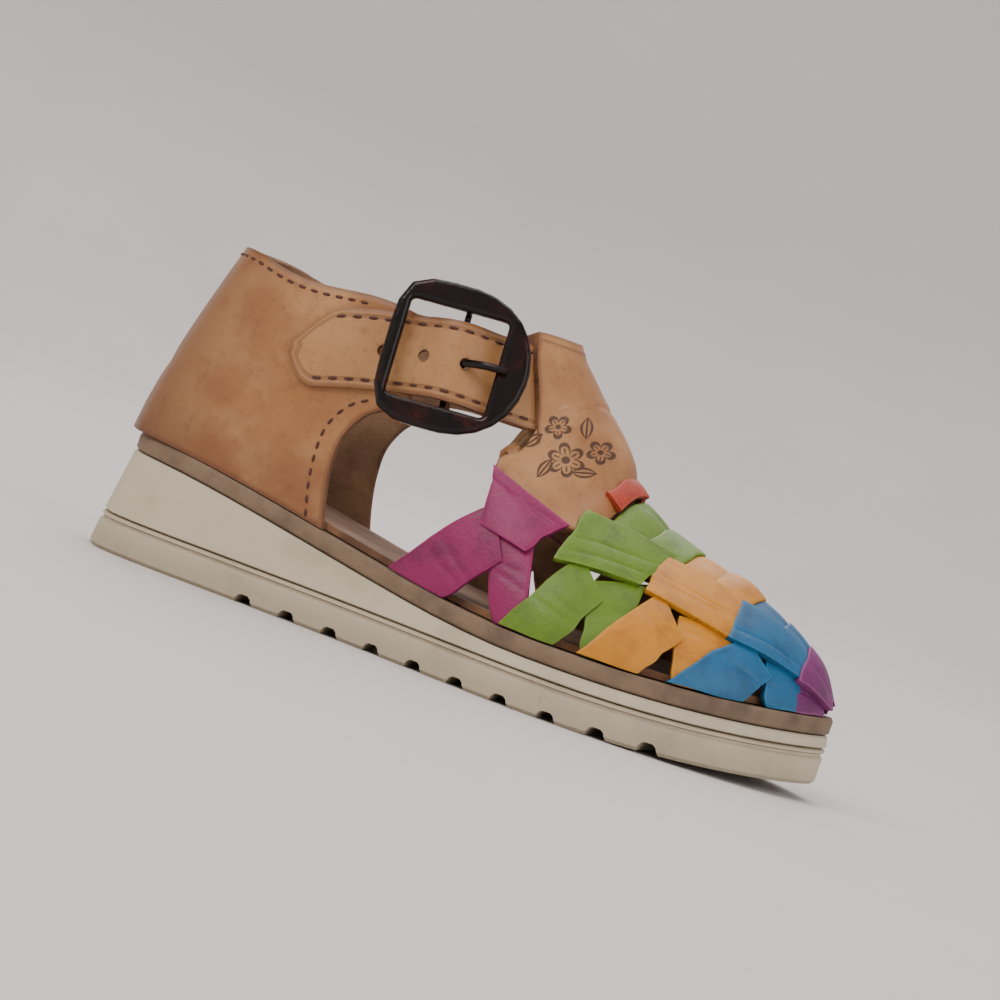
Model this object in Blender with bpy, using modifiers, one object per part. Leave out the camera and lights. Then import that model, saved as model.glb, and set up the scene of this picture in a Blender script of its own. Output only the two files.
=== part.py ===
"""Woven leather T-strap sandal for a child, right shoe, fastened.

The heel is at -X, the toe points along +X, +Y is the big-toe side and the
tread stands on Z = 0. Sizes are in metres. Inside this file "along" is the
distance from the back of the heel; finish_mesh() moves the finished points so
that the sole is centred on the origin.
"""
import math
from typing import NamedTuple

import bmesh
import bpy
import numpy as np
from mathutils import Matrix, Vector

# Sole
SOLE_LENGTH = 0.1707
BALL_WIDTH = 0.072
OUTSOLE_THICKNESS = 0.0080
HEEL_FOAM = 0.0230
FOREFOOT_FOAM = 0.0110
WEDGE_RUN = 0.1075
TOE_SPRING = 0.0040
SPRING_START = 0.1165
HEEL_TAPER = 0.0028
HEEL_TAPER_RUN = 0.040
WELT_THICKNESS = 0.0038
WELT_INSET = 0.0009
INSOLE_THICKNESS = 0.0015
INSOLE_INSET = 0.0046
FIT_GAP = 0.0003

# Tread
GROOVE_COUNT = 10
GROOVE_PITCH = 0.0106
FIRST_GROOVE = 0.0462
GROOVE_ANGLE = math.radians(6.5)
GROOVE_WIDTH = 0.0045
GROOVE_FLOOR_WIDTH = 0.0018
GROOVE_DEPTH = 0.0020
BROKEN_GROOVE = 3
STUB_LENGTH = 0.0085
PLATE_LENGTH = 0.0120
PLATE_WIDTH = 0.0260
PLATE_LINE = 0.0010
PLATE_LINE_DEPTH = 0.0005
PLATE_SIDE_SHIFT = -0.0035

# Side line of the outsole
SIDE_LINE_HEIGHT = 0.0064
SIDE_LINE_WIDTH = 0.0005
SIDE_LINE_DEPTH = 0.0006
EDGE_ROUND = 0.0008

# Last, the inner surface of the leather
LAST_INSET = 0.0032
HEEL_LEAN = 0.0108
HEEL_LEAN_HEIGHT = 0.0450
HEEL_LEAN_POWER = 1.3
HEEL_LEAN_RUN = 0.055
SIDE_POWER = 1.55
TOP_POWER = 1.70
RIDGE_SIDE_HEEL = 0.0010
RIDGE_SIDE_BALL = 0.0040

# Leather
COUNTER_WALL = 0.0022
COLLAR_HEIGHT = 0.0730
COLLAR_DIP = 0.0028
COLLAR_DIP_START = 0.010
TAB_TOP = 0.0587
STRAP_WALL = 0.0016
STRAP_WIDTH = 0.0172
STRAP_LAP = 0.00040
STRAP_TIP = 0.0347
STRAP_TIP_HEIGHT = 0.0558
STRAP_TIP_RUN = 0.0090
STRAP_POINT_SHARE = 0.06
STRAP_FRONT_HEIGHT = 0.0638
STRAP_CLIMB_RUN = 0.0355
STRAP_CLIMB_POWER = 1.6
STRAP_INNER_END = 0.0527
VAMP_WALL = 0.0022
STRIP_WALL = 0.0016
STRIP_STEP = 0.00065
LOOP_TOP = 0.0752
LOOP_CAP = 0.0034
LOOP_RAMP = 0.0050
LOOP_BACK_LOW = 0.0500
LOOP_BACK_LIFT = 0.00015
LOOP_BACK_WALL = 0.0019
LOOP_BACK_ANGLE = math.radians(19)
LOOP_LOW = 0.0466
LOOP_LOW_ANGLE = math.radians(26)
LOOP_TOP_ANGLE = math.radians(21.3)
LOOP_SINK = 0.00030
SPECK_VOLUME = 1e-12
HOLE_RADIUS = 0.00125
HOLE_PITCH = 0.0088
HOLE_DEPTH = 0.0060
PRONG_HOLE_LEAD = 0.0024

# Buckle
BUCKLE_ALONG = 0.0695
BUCKLE_BACK = 0.0155
BUCKLE_FRONT = 0.0165
BUCKLE_HALF_HEIGHT = 0.0164
BUCKLE_THICKNESS = 0.0030
BUCKLE_REST = 0.0012
BUCKLE_ROUND = 0.0007
WINDOW_BACK = 0.0124
WINDOW_FRONT = 0.0094
WINDOW_HALF_HEIGHT = 0.0109
BAR_RADIUS = 0.0008
CHAPE_WALL = 0.0009
CHAPE_SLOT = 0.0034
CHAPE_WIDTH = 0.0160
RUNNING_GAP = 0.00025
HUMP_RUN = 0.0060
PRONG_RADIUS = 0.0009
PRONG_LOOP_WALL = 0.00085
PRONG_LOOP_WIDTH = 0.0022
PRONG_RISE = 0.0023
PRONG_BEND = 0.0042
PRONG_FALL = 0.0075
PRONG_TIP = 0.0022

# Mesh fineness
SOLE_STEPS = 36
LOOP_STEPS = 8
COUNTER_COLUMNS = 26
VAMP_COLUMNS = 5
LOOP_COLUMNS = 4
STRAP_COLUMNS = 34
STRIP_COLUMNS = 5
STRIP_ROWS = 2
SEAT_STEPS = 12
SEAT_ROWS = 4


class SoleStation(NamedTuple):
    """Edge of the sole: along as a share of SOLE_LENGTH, sides of BALL_WIDTH."""

    along: float
    lateral: float
    medial: float


SOLE_STATIONS = (
    SoleStation(0.025, 0.194, 0.208),
    SoleStation(0.060, 0.268, 0.285),
    SoleStation(0.116, 0.306, 0.333),
    SoleStation(0.210, 0.326, 0.358),
    SoleStation(0.341, 0.358, 0.310),
    SoleStation(0.419, 0.390, 0.279),
    SoleStation(0.508, 0.446, 0.347),
    SoleStation(0.631, 0.513, 0.446),
    SoleStation(0.739, 0.484, 0.486),
    SoleStation(0.843, 0.396, 0.452),
    SoleStation(0.926, 0.252, 0.361),
    SoleStation(0.980, 0.075, 0.222),
)
HEEL_POINT_SIDE = 0.007
TOE_POINT_SIDE = 0.080


class RidgeStation(NamedTuple):
    """Height of the last's top line over the footbed, as shares of SOLE_LENGTH."""

    along: float
    height: float


RIDGE_STATIONS = (
    RidgeStation(0.000, 0.732),
    RidgeStation(0.309, 0.732),
    RidgeStation(0.367, 0.597),
    RidgeStation(0.403, 0.533),
    RidgeStation(0.438, 0.463),
    RidgeStation(0.478, 0.384),
    RidgeStation(0.520, 0.323),
    RidgeStation(0.574, 0.273),
    RidgeStation(0.646, 0.208),
    RidgeStation(0.724, 0.161),
    RidgeStation(0.835, 0.129),
    RidgeStation(0.901, 0.093),
    RidgeStation(0.947, 0.056),
    RidgeStation(0.981, 0.003),
)


class FrontEdge(NamedTuple):
    """Front edge of the heel counter: row share, along and height as shares."""

    row: float
    along: float
    height: float


FRONT_EDGE = (
    FrontEdge(0.00, 0.322, 0.000),
    FrontEdge(0.14, 0.310, 0.041),
    FrontEdge(0.28, 0.304, 0.079),
    FrontEdge(0.41, 0.306, 0.116),
    FrontEdge(0.52, 0.325, 0.154),
    FrontEdge(0.60, 0.355, 0.177),
    FrontEdge(0.66, 0.374, 0.183),
    FrontEdge(0.83, 0.360, 0.240),
    FrontEdge(1.00, 0.345, 0.298),
)


class VampRow(NamedTuple):
    """Cross row of the T-strap: top line place, edge place and edge climb."""

    ridge: float
    edge: float
    climb: float


VAMP_ROWS = (
    VampRow(0.660, 0.658, 0.800),
    VampRow(0.649, 0.636, 0.480),
    VampRow(0.628, 0.608, 0.410),
    VampRow(0.602, 0.572, 0.378),
    VampRow(0.590, 0.538, 0.356),
    VampRow(0.579, 0.508, 0.345),
    VampRow(0.568, 0.512, 0.440),
)


class Strip(NamedTuple):
    """Flat leather strip: two rear and two front corners, low and high.

    Places are shares of SOLE_LENGTH, climbs run from 0 at the sole to 1 at the
    top line. The layer counts outward from the last.
    """

    layer: int
    rear_low: tuple
    front_low: tuple
    front_high: tuple
    rear_high: tuple


MAGENTA = (
    Strip(1, (0.424, 0.0), (0.506, 0.0), (0.562, 0.20), (0.528, 0.32)),
    Strip(0, (0.581, 0.0), (0.628, 0.0), (0.590, 0.30), (0.525, 0.28)),
    Strip(2, (0.521, 0.24), (0.584, 0.26), (0.615, 0.43), (0.504, 0.37)),
)
GREEN = (
    Strip(1, (0.587, 0.0), (0.660, 0.0), (0.693, 0.28), (0.650, 0.39)),
    Strip(0, (0.695, 0.0), (0.742, 0.0), (0.730, 0.46), (0.673, 0.34)),
    Strip(2, (0.618, 0.30), (0.724, 0.43), (0.742, 0.72), (0.624, 0.53)),
)
YELLOW = (
    Strip(1, (0.687, 0.0), (0.763, 0.0), (0.798, 0.27), (0.752, 0.47)),
    Strip(0, (0.807, 0.0), (0.853, 0.0), (0.850, 0.42), (0.785, 0.40)),
    Strip(2, (0.733, 0.42), (0.844, 0.38), (0.852, 0.72), (0.726, 0.66)),
)
BLUE = (
    Strip(1, (0.798, 0.0), (0.886, 0.0), (0.909, 0.28), (0.864, 0.46)),
    Strip(0, (0.916, 0.0), (0.953, 0.0), (0.941, 0.52), (0.895, 0.46)),
    Strip(2, (0.844, 0.38), (0.945, 0.40), (0.943, 0.78), (0.839, 0.68)),
)


class CrownStrip(NamedTuple):
    """Strip that crosses the top line: its edges there and at its ends."""

    layer: int
    rear: float
    front: float
    climb: float
    sweep: float


CROWN_STRIPS = (
    CrownStrip(2, 0.636, 0.665, 0.62, -0.012),
    CrownStrip(0, 0.673, 0.720, 0.52, -0.018),
    CrownStrip(1, 0.717, 0.768, 0.52, -0.018),
    CrownStrip(0, 0.764, 0.815, 0.50, -0.018),
    CrownStrip(1, 0.811, 0.860, 0.50, -0.016),
    CrownStrip(0, 0.856, 0.902, 0.48, -0.012),
    CrownStrip(1, 0.898, 0.943, 0.46, -0.008),
    CrownStrip(2, 0.929, 0.974, 0.36, 0.004),
)


def new_collection(name):
    """Link a fresh collection to the scene."""
    collection = bpy.data.collections.new(name)
    bpy.context.scene.collection.children.link(collection)
    return collection


def material(name, colour, roughness, metallic=0.0):
    """Return a Principled material."""
    made = bpy.data.materials.new(name)
    made.use_nodes = True
    shader = made.node_tree.nodes["Principled BSDF"]
    shader.inputs["Base Color"].default_value = (*colour, 1.0)
    shader.inputs["Roughness"].default_value = roughness
    shader.inputs["Metallic"].default_value = metallic
    return made


def ease(start, end, value):
    """Smooth step from 0 at start to 1 at end."""
    share = min(1.0, max(0.0, (value - start) / (end - start)))
    return share * share * (3.0 - 2.0 * share)


def smooth_loop(points, steps):
    """Closed Catmull-Rom curve through the points."""
    knots = np.array(points)
    count = len(knots)
    curve = []
    for index in range(count):
        before = knots[index - 1]
        start = knots[index]
        end = knots[(index + 1) % count]
        after = knots[(index + 2) % count]
        for step in range(steps):
            t = step / steps
            linear = (end - before) * t
            square = (2 * before - 5 * start + 4 * end - after) * t ** 2
            cube = (3 * start - before - 3 * end + after) * t ** 3
            curve.append(0.5 * (2 * start + linear + square + cube))
    return np.array(curve)


def inset_loop(loop, distance):
    """Move each point of the sole's outline inward by the distance."""
    tangent = np.roll(loop, -1, 0) - np.roll(loop, 1, 0)
    tangent /= np.linalg.norm(tangent, axis=1)[:, None]
    inward = np.column_stack([-tangent[:, 1], tangent[:, 0]])
    return loop + inward * distance


def sole_outline():
    """Outline of the tread, heel to toe along the little-toe side and back."""
    lateral = [(s.along * SOLE_LENGTH, -s.lateral * BALL_WIDTH) for s in SOLE_STATIONS]
    medial = [(s.along * SOLE_LENGTH, s.medial * BALL_WIDTH) for s in SOLE_STATIONS]
    heel = [(0.0, HEEL_POINT_SIDE * BALL_WIDTH)]
    toe = [(SOLE_LENGTH, TOE_POINT_SIDE * BALL_WIDTH)]
    return smooth_loop(heel + lateral + toe + medial[::-1], LOOP_STEPS)


OUTLINE = sole_outline()
CENTRE = (OUTLINE.min(0) + OUTLINE.max(0)) / 2
LAST_LOOP = inset_loop(OUTLINE, LAST_INSET)


def span_at(loop, along):
    """Both side places of a closed outline at one distance along."""
    ends = np.roll(loop, -1, 0)
    low = np.minimum(loop[:, 0], ends[:, 0])
    high = np.maximum(loop[:, 0], ends[:, 0])
    hit = (low <= along) & (high >= along) & (high > low)
    start = loop[hit]
    step = ends[hit] - start
    sides = start[:, 1] + step[:, 1] * (along - start[:, 0]) / step[:, 0]
    return sides.min(), sides.max()


def toe_spring(along):
    """Lift of the tread over the floor."""
    share = max(0.0, (along - SPRING_START) / (SOLE_LENGTH - SPRING_START))
    return TOE_SPRING * share ** 2


def foam_top(along):
    """Top of the foam wedge."""
    drop = (HEEL_FOAM - FOREFOOT_FOAM) * ease(0.0, WEDGE_RUN, along)
    return HEEL_FOAM - drop + toe_spring(along)


def footbed(along):
    """Lower edge of the leather, just over the welt."""
    return foam_top(along) + FIT_GAP + WELT_THICKNESS + FIT_GAP


def heel_lean(along, height):
    """Forward lean of the heel over the footbed."""
    share = max(0.0, height) / HEEL_LEAN_HEIGHT
    return HEEL_LEAN * share ** HEEL_LEAN_POWER * (1.0 - ease(0.0, HEEL_LEAN_RUN, along))


def ridge_height(along):
    """Height of the last's top line over the footbed."""
    places = [s.along * SOLE_LENGTH for s in RIDGE_STATIONS]
    heights = [s.height * SOLE_LENGTH for s in RIDGE_STATIONS]
    return float(np.interp(along, places, heights))


def ridge_side(along):
    """Side place of the last's top line."""
    swing = RIDGE_SIDE_BALL - RIDGE_SIDE_HEEL
    return RIDGE_SIDE_HEEL + swing * ease(0.42 * SOLE_LENGTH, 0.71 * SOLE_LENGTH, along)


def wall_point(along, side, height):
    """Point of the last over one point of its lower edge."""
    share = min(1.0, max(0.0, height) / ridge_height(along))
    narrow = (1.0 - share ** TOP_POWER) ** (1.0 / SIDE_POWER)
    middle = ridge_side(along)
    place = along + heel_lean(along, height)
    return np.array([place, middle + (side - middle) * narrow, footbed(along) + height])


def foot_point(along, climb):
    """Point of the last: climb runs 0 to 1 on the little-toe side, 1 to 2 beyond."""
    first, last = LAST_LOOP[:, 0].min(), LAST_LOOP[:, 0].max()
    sides = span_at(LAST_LOOP, min(max(along, first + 1e-5), last - 1e-5))
    side = sides[0] if climb < 1.0 else sides[1]
    angle = min(climb, 2.0 - climb) * math.pi / 2
    height = ridge_height(along) * math.sin(angle) ** (2.0 / TOP_POWER)
    return wall_point(along, side, height)


def is_inside(point):
    """Tell whether a point lies within the last."""
    height = point[2] - footbed(point[0])
    along = point[0]
    for _ in range(3):
        along = point[0] - heel_lean(along, height)
    first, last = LAST_LOOP[:, 0].min(), LAST_LOOP[:, 0].max()
    if not first < along < last or height >= ridge_height(along):
        return False
    low, high = span_at(LAST_LOOP, along)
    near = wall_point(along, low, height)[1]
    far = wall_point(along, high, height)[1]
    return near < point[1] < far


def ring_point(angle, level):
    """Point of the last around the ankle, on the surface z = level(along)."""
    centre_along = STRAP_INNER_END
    near, far = 0.0, SOLE_LENGTH / 2
    for _ in range(24):
        reach = (near + far) / 2
        along = centre_along + reach * math.cos(angle)
        point = np.array([along, reach * math.sin(angle), level(along)])
        if is_inside(point):
            near = reach
        else:
            far = reach
    return point


def grid_normals(grid):
    """Unit normals of a grid of points, facing away from the foot."""
    across = np.gradient(grid, axis=0)
    lengthwise = np.gradient(grid, axis=1)
    normal = np.cross(across, lengthwise)
    normal /= np.linalg.norm(normal, axis=2)[:, :, None] + 1e-12
    heart = grid.copy()
    heart[:, :, 1] = 0.0
    heart[:, :, 2] = [[footbed(p[0]) for p in row] for row in grid]
    if np.sum(normal * (grid - heart)) < 0.0:
        normal = -normal
    return normal


def finish_mesh(name, points, faces, collection, look=None):
    """Make a mesh object from points measured from the heel."""
    mesh = bpy.data.meshes.new(name)
    shift = np.array([CENTRE[0], CENTRE[1], 0.0])
    mesh.from_pydata([tuple(p - shift) for p in points], [], faces)
    made = bpy.data.objects.new(name, mesh)
    collection.objects.link(made)
    bm = bmesh.new()
    bm.from_mesh(mesh)
    bmesh.ops.remove_doubles(bm, verts=bm.verts, dist=1e-6)
    bmesh.ops.recalc_face_normals(bm, faces=bm.faces)
    bm.to_mesh(mesh)
    bm.free()
    if look is not None:
        mesh.materials.append(look)
    return made


def sheet(name, grid, lift, thickness, collection):
    """Leather sheet of even thickness: a grid on the last, lifted and thickened."""
    normal = grid_normals(grid)
    outside = grid + normal * np.broadcast_to(lift, grid.shape[:2])[:, :, None]
    rows, columns = grid.shape[:2]
    index = np.arange(rows * columns).reshape(rows, columns)
    faces = []
    for i in range(rows - 1):
        for j in range(columns - 1):
            faces.append((index[i, j], index[i, j + 1], index[i + 1, j + 1], index[i + 1, j]))
    flat = outside.reshape(-1, 3)
    corner = np.cross(outside[0, 1] - outside[0, 0], outside[1, 0] - outside[0, 0])
    if np.dot(corner, normal[0, 0]) < 0.0:
        faces = [face[::-1] for face in faces]
    mesh = bpy.data.meshes.new(name)
    shift = np.array([CENTRE[0], CENTRE[1], 0.0])
    mesh.from_pydata([tuple(p - shift) for p in flat], [], [tuple(map(int, f)) for f in faces])
    made = bpy.data.objects.new(name, mesh)
    collection.objects.link(made)
    solid = made.modifiers.new("Thickness", "SOLIDIFY")
    solid.thickness = thickness
    solid.offset = 1.0
    solid.use_even_offset = False
    solid.use_quality_normals = True
    made.hide_render = True
    made.display_type = "WIRE"
    return made


class Ring(NamedTuple):
    """One level line of a sole piece: inset from the outline and height."""

    inset: float
    height: object
    taper: float


def ring_points(ring):
    """Points of a level line: heel, little-toe side, toe, big-toe side."""
    loop = inset_loop(OUTLINE, ring.inset)
    first, last = loop[:, 0].argmin(), loop[:, 0].argmax()
    start, end = loop[first, 0], loop[last, 0]
    places = [0.5 * (1 - math.cos(math.pi * i / SOLE_STEPS)) for i in range(1, SOLE_STEPS)]
    places = [start + (end - start) * share for share in places]
    sides = [span_at(loop, place) for place in places]
    near = [(place, side[0]) for place, side in zip(places, sides)]
    far = [(place, side[1]) for place, side in zip(places, sides)]
    outline = [tuple(loop[first])] + near + [tuple(loop[last])] + far[::-1]
    points = []
    for along, side in outline:
        lean = ring.taper * (1.0 - ease(0.0, HEEL_TAPER_RUN, along))
        points.append(np.array([along + lean, side, ring.height(along)]))
    return points


def sole_stack(name, rings, collection, look):
    """Loft a sole piece through its level lines and close top and bottom."""
    points = []
    for ring in rings:
        points += ring_points(ring)
    size = 2 * SOLE_STEPS
    faces = []
    for level in range(len(rings) - 1):
        low, high = level * size, (level + 1) * size
        for i in range(size):
            j = (i + 1) % size
            faces.append((low + i, low + j, high + j, high + i))
    for base in (0, (len(rings) - 1) * size):
        for i in range(SOLE_STEPS):
            near_a, near_b = base + i, base + i + 1
            far_a, far_b = base + (size - i) % size, base + size - i - 1
            corners = [near_a, near_b, far_b, far_a]
            faces.append(tuple(dict.fromkeys(corners)))
    made = finish_mesh(name, points, faces, collection, look)
    return made


def taper_at(height):
    """Forward lean of the heel's foam at a height."""
    return HEEL_TAPER * height / HEEL_FOAM


def level_ring(inset, height):
    """Level line of the outsole at an even height over the tread."""
    return Ring(inset, lambda along: height + toe_spring(along), taper_at(height))


def make_outsole(collection, cutters, look):
    """Tread unit with its rounded edge, side line, grooves and plain plate."""
    line_low = SIDE_LINE_HEIGHT
    line_high = line_low + SIDE_LINE_WIDTH
    rings = (
        level_ring(EDGE_ROUND, 0.0),
        level_ring(0.0, EDGE_ROUND),
        level_ring(0.0, line_low - SIDE_LINE_DEPTH),
        level_ring(SIDE_LINE_DEPTH, line_low),
        level_ring(SIDE_LINE_DEPTH, line_high),
        level_ring(0.0, line_high + SIDE_LINE_DEPTH / 2),
        level_ring(0.0, OUTSOLE_THICKNESS - SIDE_LINE_DEPTH / 2),
        level_ring(SIDE_LINE_DEPTH, OUTSOLE_THICKNESS),
    )
    outsole = sole_stack("outsole", rings, collection, look)
    grooves = [groove_cutter(i, cutters) for i in range(GROOVE_COUNT) if i != BROKEN_GROOVE]
    grooves += stub_cutters(cutters)
    grooves += plate_cutters(cutters)
    for cutter in grooves:
        cut(outsole, cutter)
    return outsole


def cut(target, cutter, operation="DIFFERENCE"):
    """Add an exact Boolean modifier."""
    modifier = target.modifiers.new(cutter.name, "BOOLEAN")
    modifier.operation = operation
    modifier.object = cutter
    return modifier


def hide(cutter):
    """Mark an object as a cutter."""
    cutter.hide_render = True
    cutter.display_type = "WIRE"
    return cutter


def groove_place(index):
    """Distance along to the middle of a groove."""
    return FIRST_GROOVE + index * GROOVE_PITCH


def channel(name, along, side, length, collection):
    """Tapered channel cutter across the tread, centred at along and side."""
    half, floor = GROOVE_WIDTH / 2, GROOVE_FLOOR_WIDTH / 2
    depth = GROOVE_DEPTH
    shoulder = (half + floor) / 2
    profile = (
        (-half, -depth), (half, -depth), (half, 0.0), (shoulder, 0.75 * depth),
        (floor, depth), (-floor, depth), (-shoulder, 0.75 * depth), (-half, 0.0),
    )
    count = len(profile)
    points = [np.array([x, end * length / 2, z]) for end in (-1, 1) for x, z in profile]
    faces = [tuple(range(count)), tuple(range(2 * count - 1, count - 1, -1))]
    for i in range(count):
        j = (i + 1) % count
        faces.append((i, count + i, count + j, j))
    turn = np.array(Matrix.Rotation(-GROOVE_ANGLE, 3, "Z"))
    place = np.array([along, side, toe_spring(along)])
    return hide(finish_mesh(name, [turn @ p + place for p in points], faces, collection))


def groove_cutter(index, collection):
    """Groove right across the tread."""
    return channel(f"groove_{index + 1}", groove_place(index), 0.0, 1.4 * BALL_WIDTH, collection)


def stub_cutters(collection):
    """Two short ends of the groove that the plain plate interrupts."""
    along = groove_place(BROKEN_GROOVE)
    stubs = []
    for name, side in zip(("near", "far"), span_at(OUTLINE, along)):
        away = math.copysign(1.0, side)
        middle = side - away * (STUB_LENGTH / 2 - GROOVE_WIDTH)
        shift = middle * math.tan(GROOVE_ANGLE)
        length = STUB_LENGTH + 2 * GROOVE_WIDTH
        stubs.append(channel(f"stub_{name}", along + shift, middle, length, collection))
    return stubs


def box(name, size, place, angle, collection):
    """Box cutter from a primitive cube, turned about Z."""
    mesh = bpy.data.meshes.new(name)
    bm = bmesh.new()
    bmesh.ops.create_cube(bm, size=1.0)
    bmesh.ops.scale(bm, vec=size, verts=bm.verts)
    bmesh.ops.rotate(bm, matrix=Matrix.Rotation(angle, 3, "Z"), verts=bm.verts)
    bm.to_mesh(mesh)
    bm.free()
    made = bpy.data.objects.new(name, mesh)
    made.location = (place[0] - CENTRE[0], place[1] - CENTRE[1], place[2])
    collection.objects.link(made)
    return hide(made)


def plate_cutters(collection):
    """Four shallow lines that frame the plain plate under the arch."""
    middle = np.array([groove_place(BROKEN_GROOVE), PLATE_SIDE_SHIFT])
    turn = np.array(Matrix.Rotation(-GROOVE_ANGLE, 2))
    lines = []
    for name, x, y, dx, dy in (
        ("rear", -PLATE_LENGTH / 2, 0.0, PLATE_LINE, PLATE_WIDTH + PLATE_LINE),
        ("front", PLATE_LENGTH / 2, 0.0, PLATE_LINE, PLATE_WIDTH + PLATE_LINE),
        ("near", 0.0, -PLATE_WIDTH / 2, PLATE_LENGTH, 0.9 * PLATE_LINE),
        ("far", 0.0, PLATE_WIDTH / 2, PLATE_LENGTH, 0.9 * PLATE_LINE),
    ):
        centre = middle + turn @ np.array([x, y])
        place = (centre[0], centre[1], 0.0)
        depth = PLATE_LINE_DEPTH if dx < dy else 0.9 * PLATE_LINE_DEPTH
        size = (dx, dy, 2 * depth)
        lines.append(box(f"plate_{name}", size, place, -GROOVE_ANGLE, collection))
    return lines


def make_wedge(collection, look):
    """Foam wedge between the tread unit and the welt."""
    floor = OUTSOLE_THICKNESS + FIT_GAP
    rings = (
        level_ring(SIDE_LINE_DEPTH, floor),
        level_ring(0.0, floor + SIDE_LINE_DEPTH / 2),
        Ring(WELT_INSET / 2, lambda along: foam_top(along) - EDGE_ROUND / 2, taper_at(HEEL_FOAM)),
        Ring(WELT_INSET, foam_top, taper_at(HEEL_FOAM)),
    )
    return sole_stack("foam_wedge", rings, collection, look)


def make_welt(collection, look):
    """Leather-coloured band round the footbed, under the upper."""
    lean = taper_at(HEEL_FOAM)
    low = FIT_GAP
    high = FIT_GAP + WELT_THICKNESS
    rings = (
        Ring(WELT_INSET, lambda along: foam_top(along) + low, lean),
        Ring(WELT_INSET / 2, lambda along: foam_top(along) + low + EDGE_ROUND / 2, lean),
        Ring(WELT_INSET / 2, lambda along: foam_top(along) + high - EDGE_ROUND, lean),
        Ring(WELT_INSET, lambda along: foam_top(along) + high, lean),
    )
    return sole_stack("welt", rings, collection, look)


def make_insole(collection, look):
    """Sock leather inside the upper."""
    lean = taper_at(HEEL_FOAM)
    rings = (
        Ring(INSOLE_INSET, footbed, lean),
        Ring(INSOLE_INSET, lambda along: footbed(along) + INSOLE_THICKNESS, lean),
    )
    return sole_stack("insole", rings, collection, look)


def edge_arc(side_sign):
    """Half of the last's lower edge from the heel: arc length and points."""
    heel = int(LAST_LOOP[:, 0].argmin())
    toe = int(LAST_LOOP[:, 0].argmax())
    count = len(LAST_LOOP)
    if side_sign < 0:
        order = [(heel + i) % count for i in range((toe - heel) % count + 1)]
    else:
        order = [(heel - i) % count for i in range((heel - toe) % count + 1)]
    points = LAST_LOOP[order]
    steps = np.linalg.norm(np.diff(points, axis=0), axis=1)
    return np.concatenate([[0.0], np.cumsum(steps)]), points


ARCS = {-1: edge_arc(-1), 1: edge_arc(1)}


def arc_of(along, side_sign):
    """Signed distance round the heel to a place on one side."""
    arc, points = ARCS[side_sign]
    return side_sign * float(np.interp(along, points[:, 0], arc))


def edge_point(arc):
    """Point of the last's lower edge at a signed distance round the heel."""
    lengths, points = ARCS[-1 if arc < 0 else 1]
    place = float(np.interp(abs(arc), lengths, points[:, 0]))
    side = float(np.interp(abs(arc), lengths, points[:, 1]))
    return place, side


def collar_height(along):
    """Height of the collar line over the footbed."""
    share = min(1.0, max(0.0, (along - COLLAR_DIP_START) / (TAB_TOP - COLLAR_DIP_START)))
    return COLLAR_HEIGHT - COLLAR_DIP * math.sin(math.pi * share) - footbed(along)


def counter_grid():
    """Grid of the heel counter with a buckle tab at each front edge."""
    grid = []
    low = [arc_of(FRONT_EDGE[0].along * SOLE_LENGTH, sign) for sign in (-1, 1)]
    high = [arc_of(FRONT_EDGE[-1].along * SOLE_LENGTH, sign) for sign in (-1, 1)]
    for station in FRONT_EDGE:
        row = []
        v = station.row
        front = [arc_of(station.along * SOLE_LENGTH, sign) for sign in (-1, 1)]
        for i in range(COUNTER_COLUMNS + 1):
            s = i / COUNTER_COLUMNS
            low_arc = low[0] + (low[1] - low[0]) * s
            high_arc = high[0] + (high[1] - high[0]) * s
            arc = low_arc + (high_arc - low_arc) * v
            near = max(0.0, 1.0 - s / 0.32) ** 2
            far = max(0.0, 1.0 - (1.0 - s) / 0.32) ** 2
            arc += near * (front[0] - low[0] - (high[0] - low[0]) * v)
            arc += far * (front[1] - low[1] - (high[1] - low[1]) * v)
            place, side = edge_point(arc)
            height = v * collar_height(edge_point(high_arc)[0])
            height += (near + far) * (station.height * SOLE_LENGTH - height)
            row.append(wall_point(place, side, height))
        grid.append(row)
    return np.array(grid)


def strap_level(share):
    """Height of the ankle strap's line, share 0 at its lower edge."""
    def level(along):
        rest = 1.0 - min(1.0, max(0.0, (along - STRAP_TIP) / STRAP_CLIMB_RUN))
        climb = STRAP_FRONT_HEIGHT - STRAP_TIP_HEIGHT
        middle = STRAP_FRONT_HEIGHT - climb * rest ** STRAP_CLIMB_POWER
        slope = climb * STRAP_CLIMB_POWER * rest ** (STRAP_CLIMB_POWER - 1.0) / STRAP_CLIMB_RUN
        return middle + (share - 0.5) * STRAP_WIDTH * math.hypot(1.0, slope)
    return level


def strap_angle(along, side_sign):
    """Angle about the ankle at which the strap passes a distance along."""
    low, high = (0.0, math.pi)
    for _ in range(30):
        middle = (low + high) / 2
        if ring_point(side_sign * middle, strap_level(0.5))[0] > along:
            low = middle
        else:
            high = middle
    return side_sign * middle


def strap_lift(point):
    """Lift of the strap over the last, with the rise over the buckle's bar."""
    base = COUNTER_WALL - STRAP_LAP
    if point[1] > 0.0:
        return base
    away = (point[0] - BUCKLE_ALONG) / HUMP_RUN
    top = 2 * (BAR_RADIUS + RUNNING_GAP + CHAPE_WALL) + FIT_GAP
    return base + (top - base) * math.exp(-away ** 2)


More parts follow.
